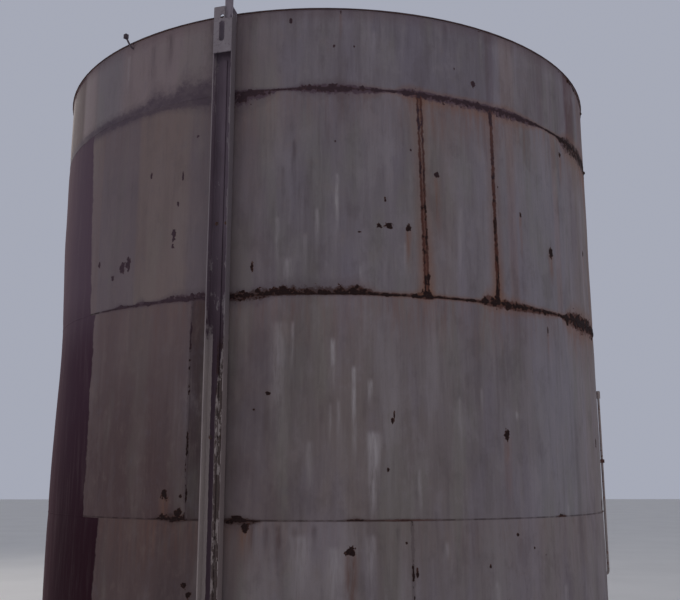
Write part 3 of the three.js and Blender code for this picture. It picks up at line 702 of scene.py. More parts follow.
def channel_paint():
    """White paint on the gauge channel, worn through to the maroon coat, and chipped to rust at the right.
    Behind the head plate the web is painted pale as painted light.
    """
    paint = Paint("gauge_channel_paint", WHITE)
    ragged = paint.noise(30, 5, 0.72, stretch=1.8) - 0.5
    flakes = paint.noise(62, 5, 0.8, stretch=2.4, shift=3)
    grain = paint.noise(190, 3, 0.6, shift=7)
    streaks = paint.noise(22, 3, 0.6, stretch=9, shift=5)
    cloud = paint.noise(5, 3, 0.6, stretch=3, shift=15)
    high = paint.z.step(1.9, 2.5)
    below_head = 1 - paint.z.step(HEAD_BOTTOM + 0.045, HEAD_BOTTOM + 0.07)
    flank = paint.x.step(CHANNEL_HALF - 0.004, CHANNEL_HALF - 0.001)
    behind = paint.y.step(CHANNEL_FRONT + 0.0005, CHANNEL_FRONT + 0.003)
    inside = behind * abs(paint.x).step(CHANNEL_HALF - 0.001, CHANNEL_HALF - 0.003)
    place = paint.x + ragged * 0.012
    height = paint.z + ragged * 0.35

    paint.lay(rgb("91868a"), streaks.step(0.45, 0.75) * 0.5)
    paint.lay(GRIME, grain.step(0.5, 0.8) * 0.35)
    paint.lay(rgb("8d838a"), high * 0.8)
    paint.lay(paint.mix(high, rgb("7f7273"), rgb("6f666c")), flank * 0.85)
    old = paint.mix(cloud.step(0.35, 0.65), rgb("695a66"), rgb("7b6c79"))
    old = paint.mix(paint.z.step(2.9, 2.1), old, rgb("4c3a46"))
    # Above the foot of the head plate the web is painted pale: painted light inside the hollow that shows
    # through the slot.
    old = paint.mix(below_head, rgb("c3b6c4"), old)

    # The maroon coat shows over the whole web high up, and in a strip left of the middle low down. Behind the
    # head plate the web shows pale painted light in its place.
    right_edge = height.step(1.8, 2.4) * 0.05 - 0.004
    strip = place.step(-0.034, -0.031) * (place - right_edge).step(0.003, 0.0)
    chips = flakes.step(0.66, 0.68) * paint.z.step(3.3, 2.6)
    tip_chips = place.step(0.03, 0.045) * flakes.step(0.5, 0.54) * below_head
    near_flange = place.step(0.01, 0.04) * 0.16 + place.step(-0.03, -0.05) * 0.05
    left_over = (paint.noise(15, 5, 0.7, stretch=2.6, shift=37) + near_flange).step(0.63, 0.645)
    worn = inside * height.step(2.2, 2.28).most(strip)
    worn = worn * (1 - chips * 0.8) * (1 - tip_chips) * (1 - left_over * high * below_head * 0.85)

    # Rust low down: on the web right of the strip and along the tip of the right flange
    low = 1 - height.step(2.1, 2.3)
    tip = paint.x.step(0.045, 0.05) * (1 - flank)
    right = tip.most(inside * place.step(-0.004, 0.002) * 0.8)
    blots = paint.noise(36, 5, 0.72, stretch=2.8, shift=91) + ragged * 0.35
    maroon = worn.most(high * tip * paint.noise(16, 4, 0.7, stretch=3, shift=23).step(0.47, 0.51))
    specks = (1 - maroon) * flakes.step(0.7, 0.72)
    lost = specks.most(low * right * blots.step(0.46, 0.49))
    paint.lay(old, maroon)
    paint.lay(paint.mix(grain.step(0.4, 0.6), RUST_DARK, rgb("4a332f")), lost)
    paint.bump(grain, 0.0008, 0.6)
    paint.bump(1 - lost.most(maroon), 0.0015, 0.7)
    return paint.finish(lost * 0.15 + 0.65, specular=0.25)


# Each finish is a material and the record's slot that it stands for
SHELL = {course: (shell_paint(course), "shell_paint") for course in COURSES}
RUST = (rust_material(), "rusted_steel")
ROOF = (roof_paint(), "roof_paint")
CHANNEL = (channel_paint(), "white_paint")
STRIP = (CHANNEL[0], "maroon_primer")
FITTING = (weathered("fitting_paint", CHALKY, LIGHT, GRIME), "shell_paint")
HEAD = (weathered("head_plate_paint", rgb("968c93"), rgb("a49aa2"), rgb("6a5c66"), 0.1, 1.5), "white_paint")
CONDUIT = (weathered("conduit_paint", rgb("8f8590"), rgb("9d939e"), rgb("63565f"), 0.15, 1.5), "rusted_steel")
RIM = (weathered("rim_steel", rgb("5c5059"), rgb("6d606a"), RUST_DARK, 0.05), "rusted_steel")
TUBE = (weathered("white_fitting_paint", WHITE, rgb("b5afaf"), rgb("6d6263"), 0.35, 1.6), "white_paint")
RUSTED_STEEL = (weathered("rusted_steel", STEEL, rgb("6b5a55"), RUST_DARK, 0.8, 1.4), "rusted_steel")
MAROON_STEEL = (weathered("maroon_paint", MAROON, rgb("5a4751"), RUST_DARK, 0.3), "maroon_primer")
BOLT_STEEL = (weathered("bolt_steel", rgb("58504e"), rgb("7a706c"), RUST_DARK, 0.7, 4), "rusted_steel")

# Mesh helpers. A shape is a pair of vertices and faces


def link(name, shape, place=None):
    """A mesh object in the scene, in its own frame where a place is given."""
    vertices, faces = shape
    mesh = bpy.data.meshes.new(name)
    mesh.from_pydata(vertices, [], faces)
    mesh.update()
    piece = bpy.data.objects.new(name, mesh)
    scene.collection.objects.link(piece)
    if place is not None:
        piece.matrix_world = place
    return piece


def sharpen(piece, degrees):
    """Shades the edges sharp at which faces meet at more than an angle."""
    piece.data.set_sharp_from_angle(angle=math.radians(degrees))


def put(name, shape, finish, place=None, smooth=True, sharp=None):
    """Makes a piece that belongs to the tank. sharp is the angle from which its edges are shaded sharp."""
    material, slot = finish
    piece = link(name, shape, place)
    if smooth:
        piece.data.shade_smooth()
    piece.data.materials.append(material)
    if sharp is not None:
        sharpen(piece, sharp)
    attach(piece, "root")
    return piece


def repaint(node, finish):
    """Gives a solid that is shown as it is its material."""
    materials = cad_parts[node].data.materials
    materials.clear()
    materials.append(finish[0])


def face_outwards(piece):
    """Turns the faces of a closed piece outwards."""
    work = bmesh.new()
    work.from_mesh(piece.data)
    bmesh.ops.recalc_face_normals(work, faces=work.faces)
    work.to_mesh(piece.data)
    work.free()


def soften(piece, width, degrees=35):
    """Rounds the edges of a piece for good where faces meet at more than an angle."""
    work = bmesh.new()
    work.from_mesh(piece.data)
    limit = math.radians(degrees)
    edges = [edge for edge in work.edges if len(edge.link_faces) == 2 and edge.calc_face_angle(0) > limit]
    bmesh.ops.bevel(work, geom=edges, offset=width, segments=2, affect="EDGES", clamp_overlap=True)
    for face in work.faces:
        face.smooth = True
    work.to_mesh(piece.data)
    work.free()
    sharpen(piece, degrees)
    return piece


def subtract(piece, cutters):
    """Cuts the cutters out of a piece for good, and removes them."""
    for cutter in cutters:
        modifier = piece.modifiers.new("cut", "BOOLEAN")
        modifier.operation = "DIFFERENCE"
        modifier.solver = "EXACT"
        modifier.object = cutter
    graph = bpy.context.evaluated_depsgraph_get()
    result = bpy.data.meshes.new_from_object(piece.evaluated_get(graph))
    piece.modifiers.clear()
    old = piece.data
    piece.data = result
    result.name = old.name
    bpy.data.meshes.remove(old)
    for cutter in cutters:
        bpy.data.objects.remove(cutter)
    return piece


def hump(away, width):
    """1 where away is 0, falling smoothly to about a third at the width."""
    return math.exp(-((away / width) ** 2))


def waviness(bearing, z):
    """How far the plates stand proud of the true cylinder."""
    angle = math.radians(bearing)
    point = Vector((math.sin(angle), -math.cos(angle), z / RADIUS))
    waves = WAVE * noise.noise(point * 5.2) + RIPPLE * noise.noise(point * 11 + Vector((7, 3, 1)))
    pull = SEAM_PULL["depth"] * sum(hump(z - seam, SEAM_PULL["reach"]) for seam in SEAMS)
    dent = hump(bearing - DENT["bearing"], DENT["degrees"]) * hump(z - DENT["z"], DENT["height"])
    return waves - SUNK - pull - DENT["depth"] * dent


def arc_of(bearing):
    return math.radians(bearing) * RADIUS


def wrap(arc, z, lift=0.0):
    """The point on the shell's outer face at an arc and a height, lifted off it."""
    bearing = math.degrees(arc / RADIUS)
    radius = RADIUS + waviness((bearing + 180) % 360 - 180, z) + lift
    angle = math.radians(bearing)
    return Vector((radius * math.sin(angle), -radius * math.cos(angle), z))


def spread(low, high, spacing):
    """Even steps from low to high, each no longer than the spacing."""
    count = max(2, math.ceil((high - low) / spacing))
    return [low + (high - low) * i / count for i in range(count + 1)]


def all_round(spacing):
    """Arcs once around the shell, without the last one, which is the first again."""
    return spread(arc_of(-180), arc_of(180), spacing)[:-1]


def grid_faces(rows, columns, start=0, flip=False, closed=False):
    """Quads of a grid of points, turned over by flip. closed joins the last row to the first."""
    faces = []
    for i in range(rows if closed else rows - 1):
        here = start + i * columns
        there = start + (i + 1) % rows * columns
        for j in range(columns - 1):
            quad = (here + j, here + j + 1, there + j + 1, there + j)
            faces.append(quad[::-1] if flip else quad)
    return faces


def lathe(profile, sides):
    """A closed (radius, height) profile turned about Z."""
    vertices, rings = [], []
    for radius, height in profile:
        if radius == 0:
            rings.append([len(vertices)] * sides)
            vertices.append(Vector((0, 0, height)))
            continue
        rings.append(list(range(len(vertices), len(vertices) + sides)))
        for i in range(sides):
            angle = 2 * math.pi * i / sides
            vertices.append(Vector((radius * math.cos(angle), radius * math.sin(angle), height)))
    faces = []
    for first, second in zip(rings, rings[1:] + rings[:1]):
        for i in range(sides):
            j = (i + 1) % sides
            face = list(dict.fromkeys((first[i], first[j], second[j], second[i])))
            if len(face) > 2:
                faces.append(face)
    return vertices, faces


def flat_ring(inner, outer, low, high):
    """The profile of a plain ring, or of a disc where inner is 0."""
    return [(inner, low), (outer, low), (outer, high), (inner, high)]


def turned(name, profile, place, finish, sides=64, round_edges=0.0015):
    """A turned piece with its sharp edges rounded."""
    piece = put(name, lathe(profile, sides), finish, place)
    face_outwards(piece)
    return soften(piece, round_edges, 30)


def rounded(corners, steps=4):
    """An outline from (x, y, radius) corners, each corner rounded with its radius."""
    points = []
    count = len(corners)
    for i, (x, y, radius) in enumerate(corners):
        here = Vector((x, y))
        if radius == 0:
            points.append(here)
            continue
        before = (Vector(corners[i - 1][:2]) - here).normalized()
        after = (Vector(corners[(i + 1) % count][:2]) - here).normalized()
        half = before.angle(after) / 2
        reach = radius / math.tan(half)
        start, end = here + before * reach, here + after * reach
        centre = here + (before + after).normalized() * (radius / math.sin(half))
        for k in range(steps + 1):
            mixed = (start - centre).lerp(end - centre, k / steps).normalized()
            points.append(centre + mixed * radius)
    return points


def rectangle(left, right, low, high, radius=0, steps=4):
    """The outline of a rectangle with rounded corners."""
    corners = ((left, low), (right, low), (right, high), (left, high))
    return rounded([(x, y, radius) for x, y in corners], steps)


def sleeve(rings):
    """A shape through rings of points, one after the other, closed at both ends."""
    count = len(rings[0])
    vertices = [point for ring in rings for point in ring]
    faces = [tuple(range(count - 1, -1, -1)), tuple(range(len(vertices) - count, len(vertices)))]
    for here in range(0, len(vertices) - count, count):
        there = here + count
        for j in range(count):
            k = (j + 1) % count
            faces.append((here + j, here + k, there + k, there + j))
    return vertices, faces


def prism(outline, low, high, steps=1, wobble=0.0):
    """An outline drawn out along Z, with a little waviness."""
    rings = []
    for i in range(steps + 1):
        z = low + (high - low) * i / steps
        shift = Vector((noise.noise(Vector((z * 1.7, 3, 1))), noise.noise(Vector((z * 1.7, 9, 5))))) * wobble
        rings.append([Vector((p.x + shift.x, p.y + shift.y, z)) for p in outline])
    return sleeve(rings)


def tube(points, radius, sides):
    """A round bar through points."""
    rings = []
    last = len(points) - 1
    side = Vector((1, 0, 0))
    angles = [2 * math.pi * k / sides for k in range(sides)]
    for i, point in enumerate(points):
        ahead = (points[min(i + 1, last)] - points[max(i - 1, 0)]).normalized()
        side = (side - ahead * side.dot(ahead)).normalized()
        up = ahead.cross(side)
        rings.append([point + (side * math.cos(angle) + up * math.sin(angle)) * radius for angle in angles])
    return sleeve(rings)


def curve(start, pull, end, steps):
    """Points of a curve from start to end that bows towards pull."""
    stops = [k / steps for k in range(steps + 1)]
    return [start * (1 - t) ** 2 + pull * 2 * t * (1 - t) + end * t * t for t in stops]


def bent(corners, bend, steps=8):
    """Points along straight runs between corners, each corner turned with a bend."""
    points = [corners[0]]
    for before, here, after in zip(corners, corners[1:], corners[2:]):
        start = here + (before - here).normalized() * bend
        end = here + (after - here).normalized() * bend
        points += curve(start, here, end, steps)
    return points + [corners[-1]]


def upright_frame(bearing, radius=0.0, z=0.0):
    """A frame whose Y points at the tank's axis, at a bearing."""
    return Matrix.Rotation(math.radians(bearing), 4, "Z") @ Matrix.Translation((0, -radius, z))


def outward_frame(bearing, radius, z):
    """A frame whose Z points straight out of the shell."""
    return upright_frame(bearing, radius, z) @ Matrix.Rotation(math.pi / 2, 4, "X")


def roof_underside(radius):
    return SHELL_TOP + GAP + ROOF_RISE * (1 - radius / ROOF_RADIUS)


def roof_frame(bearing, radius):
    """An upright frame at the foot of a neck that passes through the roof."""
    angle = math.radians(bearing)
    x, y = radius * math.sin(angle), -radius * math.cos(angle)
    return Matrix.Translation((x, y, roof_underside(radius) - NECK_INSIDE))


def round_cutter(radius, low, high, place, sides=48):
    cutter = link("cutter", lathe(flat_ring(0, radius, low, high), sides), place)
    face_outwards(cutter)
    return cutter


def bolts(name, places, size, length):
    """Hexagon bolt heads on washers, one mesh for a set. Each place is a frame with Z out of the surface."""
    washer = flat_ring(0, 1.25 * size, 0, 0.13 * size)
    head = [(0, 0), (size, 0), (size, 0.62 * size), (0.86 * size, 0.72 * size), (0, 0.72 * size)]
    tip = length + 0.1 * size
    shank = [(0, 0), (0.52 * size, 0), (0.52 * size, length), (0.42 * size, tip), (0, tip)]
    vertices, faces = [], []
    for place in places:
        spin = Matrix.Rotation(random.uniform(0, math.pi / 3), 4, "Z")
        for profile, sides in ((washer, 20), (head, 6), (shank, 12)):
            points, quads = lathe(profile, sides)
            base = len(vertices)
            vertices += [place @ spin @ p for p in points]
            faces += [tuple(base + i for i in face) for face in quads]
    put(name, (vertices, faces), BOLT_STEEL, smooth=False, sharp=40)


# Plates, welds and rust of the shell


def shell_plate(course, number, start, end):
    """One rolled plate, smooth and slightly wavy."""
    low, high = COURSES[course]["bottom"] + GAP, COURSES[course]["top"]
    columns = max(9, round((end - start) / PLATE_STEP_DEGREES))
    rows = round((high - low) / PLATE_STEP) + 1
    outer, inner = [], []
    for i in range(rows):
        z = low + (high - low) * i / (rows - 1)
        for j in range(columns):
            point = wrap(arc_of(start + (end - start) * j / (columns - 1)), z)
            outer.append(point)
            inner.append(point - Vector((point.x, point.y, 0)).normalized() * WALL)
    count = len(outer)
    faces = grid_faces(rows, columns) + grid_faces(rows, columns, count, flip=True)
    border = list(range(columns))
    border += [i * columns + columns - 1 for i in range(1, rows)]
    border += [(rows - 1) * columns + i for i in range(columns - 2, -1, -1)]
    border += [i * columns for i in range(rows - 2, 0, -1)]
    for a, b in zip(border, border[1:] + border[:1]):
        faces.append((b, a, a + count, b + count))
    return put(f"{course}_sheet_{number}", (outer + inner, faces), SHELL[course], sharp=40)


def pierce(plate, start, end):
    """Opens a plate between two bearings where a neck passes through it."""
    depth = 0.1
    for nozzle in (*SIDE_NOZZLES.values(), MANWAY):
        if start < nozzle["bearing"] % 360 < end:
            place = outward_frame(nozzle["bearing"], RADIUS, nozzle["z"])
            subtract(plate, [round_cutter(nozzle["outer"] + GAP, -depth, depth, place)])
            sharpen(plate, 40)


def add_shell():
    for course, ring in COURSES.items():
        for number, (start, end, solids) in enumerate(ring["plates"], 1):
            plate = shell_plate(course, number, start, end)
            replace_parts(plate, *[f"{course}_plate_{solid}" for solid in solids])
            if course == "course_1":
                pierce(plate, start, end)


def weld_bead(name, path, across, bead, finish, closed=False):
    """A raised bead along (arc, z) points. across is the (arc, z) direction of its width."""
    half_width, height = bead
    profile = [(-1.0, 0), (-0.8, 0.35), (-0.4, 0.85), (0, 1), (0.4, 0.85), (0.8, 0.35), (1.0, 0)]
    sunk = -0.001
    vertices = []
    for arc, z in path:
        grow = 1 + 0.35 * noise.noise(Vector((arc * 9, z * 9, 4)))
        for side, rise in profile:
            reach = side * half_width * grow
            lift = rise * height * grow if rise else sunk
            vertices.append(wrap(arc + across[0] * reach, z + across[1] * reach, lift))
    faces = grid_faces(len(path), len(profile), flip=across[1] > 0, closed=closed)
    put(name, (vertices, faces), finish)


def value_at(points, at):
    """Straight lines through (position, value) points."""
    for (x0, y0), (x1, y1) in zip(points, points[1:]):
        if x0 <= at <= x1:
            return y0 + (y1 - y0) * (at - x0) / (x1 - x0)
    return points[-1][1]


def flaky(arc, z, seed):
    """Layered noise for ragged edges of rust, about -1 to 1."""
    point = Vector((arc, z, seed))
    return 0.65 * noise.noise(point * 19) + 0.5 * noise.noise(point * 47) + 0.25 * noise.noise(point * 120)


def crust(name, arcs, heights, mask, thickness, bead=None, darkness=1.6):
    """Flakes of rust where mask(arc, z) is above 0. Their edges dip into the plate.

    bead(arc, z) is how high the weld under the rust stands."""
    sunk = -0.0015
    vertices, thick, faces = [], [], []
    index = {}
    values = [[mask(arc, z) for z in heights] for arc in arcs]
    for i in range(len(arcs) - 1):
        for j in range(len(heights) - 1):
            corners = ((i, j), (i + 1, j), (i + 1, j + 1), (i, j + 1))
            if max(values[a][b] for a, b in corners) <= 0:
                continue
            for a, b in corners:
                if (a, b) not in index:
                    index[a, b] = len(vertices)
                    amount = values[a][b]
                    under = bead(arcs[a], heights[b]) if bead else 0
                    lift = under + thickness * min(1.0, amount * 2.2) if amount > 0 else sunk
                    vertices.append(wrap(arcs[a], heights[b], lift))
                    thick.append(max(0.0, min(1.0, amount * darkness)))
            faces.append([index[c] for c in corners])
    piece = put(name, (vertices, faces), RUST)
    layer = piece.data.attributes.new("thick", "FLOAT", "POINT")
    layer.data.foreach_set("value", thick)


def seam_crust(label, index):
    """The thick rust along one seam. At the top seam it stands proud only right of the gauge."""
    seam, rust = SEAMS[index], SEAM_RUST[index]
    tallest = RUST_UNIT * max(value for side in ("above", "below") for _, value in rust[side])
    thinnest, most_ragged, margin = 0.0045, 2.2, 1.3
    fine, coarse, behind = 0.0034, 0.01, arc_of(80)

    def mask(arc, z):
        bearing = math.degrees(arc / RADIUS)
        away = abs(z - seam)
        reach = RUST_UNIT * value_at(rust["above" if z > seam else "below"], bearing) * SEAM_CRUST[index]
        smooth = index == 2 and bearing < GAUGE_BEARING
        if smooth or reach < thinnest or away > most_ragged * reach:
            return -1
        parted = 0.9 * hump(z - seam + 0.007, 0.003) if index == 1 and -12 < bearing < 8 else 0
        return 0.8 - away / reach - parted - 1.8 * flaky(1.2 * arc, 1.2 * z, index * 5.0)

    def bead(arc, z):
        return 0.0024 * hump(z - seam, 0.006)

    arcs = spread(-arc_of(180), -behind, coarse)[:-1] + spread(-behind, behind, fine)
    arcs += spread(behind, arc_of(180), coarse)[1:]
    heights = spread(seam - margin * tallest, seam + margin * tallest, fine)
    crust(f"seam_rust_{label}", arcs, heights, mask, CRUST_THICKNESS[index], bead)


def add_seams():
    for index, (label, seam) in enumerate(zip(("low", "middle", "high"), SEAMS)):
        path = [(arc, seam + 0.0015 * noise.noise(Vector((arc * 3, 1, index)))) for arc in all_round(0.025)]
        finish = SHELL[list(COURSES)[index + 1]]
        weld_bead(f"seam_weld_{label}", path, (0, 1), SEAM_BEAD, finish, closed=True)
        seam_crust(label, index)


def weld_crust(course, number, low, high):
    """The thick rust along both edges of one upright weld, heavier at its foot."""
    at_bottom, at_top, amount, apart = RUSTY_WELDS[course][number]
    first, last = arc_of(at_bottom), arc_of(at_top)
    margin, step_along, step_up, thickness = 0.045, 0.004, 0.005, 0.0018

    def from_middle(arc, z):
        return arc - (first + (last - first) * ((z - low) / (high - low)))

    def mask(arc, z):
        rise = (z - low) / (high - low)
        side = from_middle(arc, z)
        more = 0.9 * math.exp(-rise * 12) if number else 0.3 * math.exp(-rise * 5)
        slow = noise.noise(Vector((z * 7, number * 4.0, 8 + math.copysign(2, side))))
        line = abs(abs(side) - apart) / 0.012
        return amount * 0.8 + more + 0.9 * slow - 0.55 - line - 1.3 * flaky(1.3 * arc, z, 40 + number)

    def bead(arc, z):
        return 0.0022 * hump(from_middle(arc, z), 0.006)

    arcs = spread(min(first, last) - margin, max(first, last) + margin, step_along)
    heights = spread(low, high, step_up)
    darkness = 1.2 if course == "course_3" else 4
    crust(f"{course}_weld_rust_{number + 1}", arcs, heights, mask, thickness, bead, darkness)


def add_upright_welds():
    for course, ring in COURSES.items():
        low, high = ring["bottom"] + UPRIGHT_ENDS[0], ring["top"] - UPRIGHT_ENDS[1]
        leaning = {round(at_bottom): (at_bottom, at_top) for at_bottom, at_top, _, _ in RUSTY_WELDS[course]}
        for number, (start, _, _) in enumerate(ring["plates"], 1):
            at_bottom, at_top = leaning.get(round(start), (start, start))
            lean = (at_top - at_bottom) / (high - low)
            path = [(arc_of(at_bottom + (z - low) * lean), z) for z in spread(low, high, 0.02)]
            weld_bead(f"{course}_weld_{number}", path, (1, 0), UPRIGHT_BEAD, SHELL[course])
        for number in range(len(RUSTY_WELDS[course])):
            weld_crust(course, number, low, high)


def add_spot(number, bearing, z, half_width, half_height):
    """A spot where the rust has broken out. The small ones are lighter."""
    centre, reach, spacing, thickness = arc_of(bearing), 2.2, 0.0026, 0.002

    def mask(arc, height):
        away = math.hypot((arc - centre) / half_width, (height - z) / half_height)
        return 1.15 - away + 1.1 * flaky(2 * arc, 2 * height, 70 + number)

    arcs = spread(centre - reach * half_width, centre + reach * half_width, spacing)
    heights = spread(z - reach * half_height, z + reach * half_height, spacing)
    darkness = 1.6 if half_width > 0.012 else 0.9
    crust(f"rust_spot_{number + 1}", arcs, heights, mask, thickness, darkness=darkness)


def add_lump(number, bearing, z):
    """A thick lump of rust, cut off at the shell's top."""
    centre, size, reach, spacing, thickness = arc_of(bearing), 0.013, 0.024, 0.003, 0.012

    def mask(arc, height):
        return 1 - math.hypot(arc - centre, height - z) / size + 0.5 * flaky(arc, height, 130 + number)

    arcs = spread(centre - reach, centre + reach, spacing)
    heights = spread(z - reach, min(z + reach, SHELL_TOP), spacing)
    crust(f"rust_lump_{number + 1}", arcs, heights, mask, thickness)


def add_spots():
    spots = [spot for group in RUST_SPOTS.values() for spot in group]
    for number, spot in enumerate(spots):
        add_spot(number, *spot[:4])


# Nozzles and manway


def neck_profile(nozzle):
    """A neck with its flange and the fillet between them."""
    bore, outer, flange, length = (nozzle[key] for key in ("bore", "outer", "flange", "length"))
    back = length - nozzle["thickness"]
    fillet = 0.008
    return [(bore, 0), (outer, 0), (outer, back - fillet), (outer + fillet, back), (flange, back),
            (flange, length), (bore, length)]


def bolt_circle(nozzle):
    """The (x, y) places of a flange's bolts."""
    angles = [2 * math.pi * (i + 0.5) / nozzle["bolts"] for i in range(nozzle["bolts"])]
    return [(nozzle["circle"] * math.cos(angle), nozzle["circle"] * math.sin(angle)) for angle in angles]


def add_neck(name, node, nozzle, place, finish, sides=64):
    """A neck and its flange in place of a solid, with bolt holes where the nozzle has them."""
    neck = turned(name, neck_profile(nozzle), place, finish, sides)
    if "hole" in nozzle:
        low, high = nozzle["length"] - 0.05, nozzle["length"] + 0.02
        holes = [place @ Matrix.Translation((x, y, 0)) for x, y in bolt_circle(nozzle)]
        subtract(neck, [round_cutter(nozzle["hole"], low, high, hole) for hole in holes])
    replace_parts(neck, node)


def add_shell_pad(name, outer, place):
    """A ring of plate and a fillet weld around a neck, both bent so that they follow the shell."""
    rest = WALL + NECK_INSIDE
    reach = min(outer * 1.75 + 0.01, outer + 0.12)
    pad = flat_ring(outer + 0.002, reach, rest - 0.004, rest + 0.006)
    weld = [(outer - 0.001, rest + 0.005), (outer + 0.011, rest + 0.005), (outer + 0.006, rest + 0.011),
            (outer - 0.001, rest + 0.015)]
    out = place.col[2].to_3d()
    back = place.inverted()
    for part, profile, round_edges in (("pad", pad, 0.002), ("weld", weld, 0.001)):
        piece = turned(f"{name}_{part}", profile, place, FITTING, round_edges=round_edges)
        for vertex in piece.data.vertices:
            point = place @ vertex.co
            flat = Vector((point.x, point.y, 0))
            lateral = flat - out * flat.dot(out)
            drop = RADIUS - math.sqrt(RADIUS ** 2 - lateral.length ** 2)
            vertex.co = back @ (point - out * drop)


def add_roof_pad(name, outer, bearing, radius):
    """The ring of plate on the roof around a neck, laid to the roof's slope, with its weld."""
    place = roof_frame(bearing, radius) @ Matrix.Translation((0, 0, NECK_INSIDE + ROOF_THICKNESS))
    pad = flat_ring(outer + 0.002, outer * 1.7 + 0.012, -0.003, 0.005)
    weld = [(outer - 0.001, 0.004), (outer + 0.01, 0.004), (outer + 0.005, 0.01), (outer - 0.001, 0.013)]
    for part, profile in (("pad", pad), ("weld", weld)):
        piece = turned(f"{name}_{part}", profile, place, ROOF)
        for vertex in piece.data.vertices:
            point = place @ vertex.co
            vertex.co.z += ROOF_RISE * (radius - math.hypot(point.x, point.y)) / ROOF_RADIUS


def side_place(nozzle):
    """The frame at the inner end of a neck in the shell."""
    return outward_frame(nozzle["bearing"], RADIUS - WALL - NECK_INSIDE, nozzle["z"])


def add_side_nozzles():
    for name, nozzle in SIDE_NOZZLES.items():
        add_neck(f"{name}_neck", name, nozzle, side_place(nozzle), FITTING)
        add_shell_pad(name, nozzle["outer"], side_place(nozzle))


def add_manway():
    place = side_place(MANWAY)
    bore, flange = MANWAY["bore"], MANWAY["flange"]
    add_neck("manway_neck_ring", "manway_neck", MANWAY, place, FITTING, sides=96)
    add_shell_pad("manway", MANWAY["outer"], place)
    face = MANWAY["length"] + GAP
    front = face + COVER
    cover = turned("manway_cover_plate", flat_ring(0, flange, face, front), place, FITTING, sides=96)
    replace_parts(cover, "manway_cover")
    gasket = flat_ring(bore, flange - 0.004, face - 0.0025, face + 0.002)
    turned("manway_gasket", gasket, place, RUST, sides=96, round_edges=0.0005)

    back = MANWAY["length"] - MANWAY["thickness"]
    over = Matrix.Rotation(math.pi, 4, "X")
    heads = [place @ Matrix.Translation((x, y, front)) for x, y in bolt_circle(MANWAY)]
    nuts = [place @ Matrix.Translation((x, y, back)) @ over for x, y in bolt_circle(MANWAY)]
    bolts("manway_bolts", heads, 0.0155, 0.01)
    bolts("manway_nuts", nuts, 0.0165, 0.034)

    half, rise, foot, bend, size = 0.08, 0.055, front + GAP, 0.025, 0.008
    corners = [(-half, foot), (-half, foot + rise), (half, foot + rise), (half, foot)]
    points = bent([Vector((x, 0, z)) for x, z in corners], bend)
    handle = put("manway_handle_bar", tube(points, size, 16), FITTING, place, sharp=50)
    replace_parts(handle, "manway_handle")


# Roof and rim


def add_roof_weld(number, bearing):
    """The raised weld from the vent to the rim between two sheets."""
    angle = math.radians(bearing)
    along = Vector((math.sin(angle), -math.cos(angle), 0))
    side = Vector((along.y, -along.x, 0))
    half_width, height = ROOF_BEAD
    profile = [(-1, -0.2), (-0.6, 0.7), (0, 1), (0.6, 0.7), (1, -0.2)]
    stations = spread(0.1, ROOF_RADIUS - 0.01, 0.03)
    vertices = []
    for radius in stations:
        grow = 1 + 0.3 * noise.noise(Vector((radius * 30, number, 1)))
        top = roof_underside(radius) + ROOF_THICKNESS
        for reach, rise in profile:
            point = along * radius + side * (reach * half_width * grow)
            vertices.append(Vector((point.x, point.y, top + rise * height * grow)))
    put(f"roof_weld_{number + 1}", (vertices, grid_faces(len(stations), len(profile))), ROOF)


def add_vent():
    """The vent at the top of the roof, its hood and the three legs that carry it."""
    centre = roof_frame(0, 0)
    flange = VENT["flange"]
    add_neck("roof_vent_neck", "roof_vent", VENT, centre, RUSTED_STEEL)
    add_roof_pad("roof_vent", VENT["outer"], 0, 0)
    base = VENT["length"] + 0.045
    profile = [(radius, base + rise) for radius, rise in HOOD]
    hood = turned("roof_vent_cap", profile, centre, RUSTED_STEEL, round_edges=0.001)
    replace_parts(hood, "roof_vent_hood")
    outline = rectangle(flange + GAP, flange + 0.008, -0.015, 0.015)
    leg = prism(outline, VENT["length"] - VENT["thickness"], base + 0.041)
    for number, bearing in enumerate((0, 120, 240), 1):
        place = centre @ upright_frame(bearing)
        soften(put(f"roof_vent_leg_{number}", leg, RUSTED_STEEL, place), 0.001)


def add_roof():
    for number, bearing in enumerate(ROOF_WELDS):
        repaint(f"roof_plate_{number + 1}", ROOF)
        add_roof_weld(number, bearing)
    for name, nozzle in ROOF_NOZZLES.items():
        bearing, radius = nozzle["bearing"], nozzle["radius"]
        add_neck(f"{name}_neck", name, nozzle, roof_frame(bearing, radius), FITTING)
        add_roof_pad(name, nozzle["outer"], bearing, radius)
    add_vent()


def add_rim():
    """The weld under the roof's edge and the rust that hangs on the rim."""
    path = [(arc, SHELL_TOP - 0.004) for arc in all_round(0.03)]
    weld_bead("rim_weld", path, (0, 1), RIM_BEAD, SHELL["top_course"], closed=True)
    for name in ("front", "right", "back", "left"):
        repaint(f"rim_angle_{name}", RIM)

    def mask(arc, z):
        bearing = math.degrees(arc / RADIUS)
        heavy = -0.1 + 0.9 * hump(bearing - 66, 13) + 0.3 * hump(bearing + 74, 8)
        return heavy - (SHELL_TOP - z) / 0.03 + 0.8 * flaky(arc, z, 90)

    arcs = spread(arc_of(-180), arc_of(180), 0.007)
    heights = spread(SHELL_TOP - 0.045, SHELL_TOP, 0.0055)
    crust("rim_rust", arcs, heights, mask, 0.003)
    for number, (bearing, z) in enumerate(RUST_LUMPS):
        add_lump(number, bearing, z)


# Level gauge and small fittings


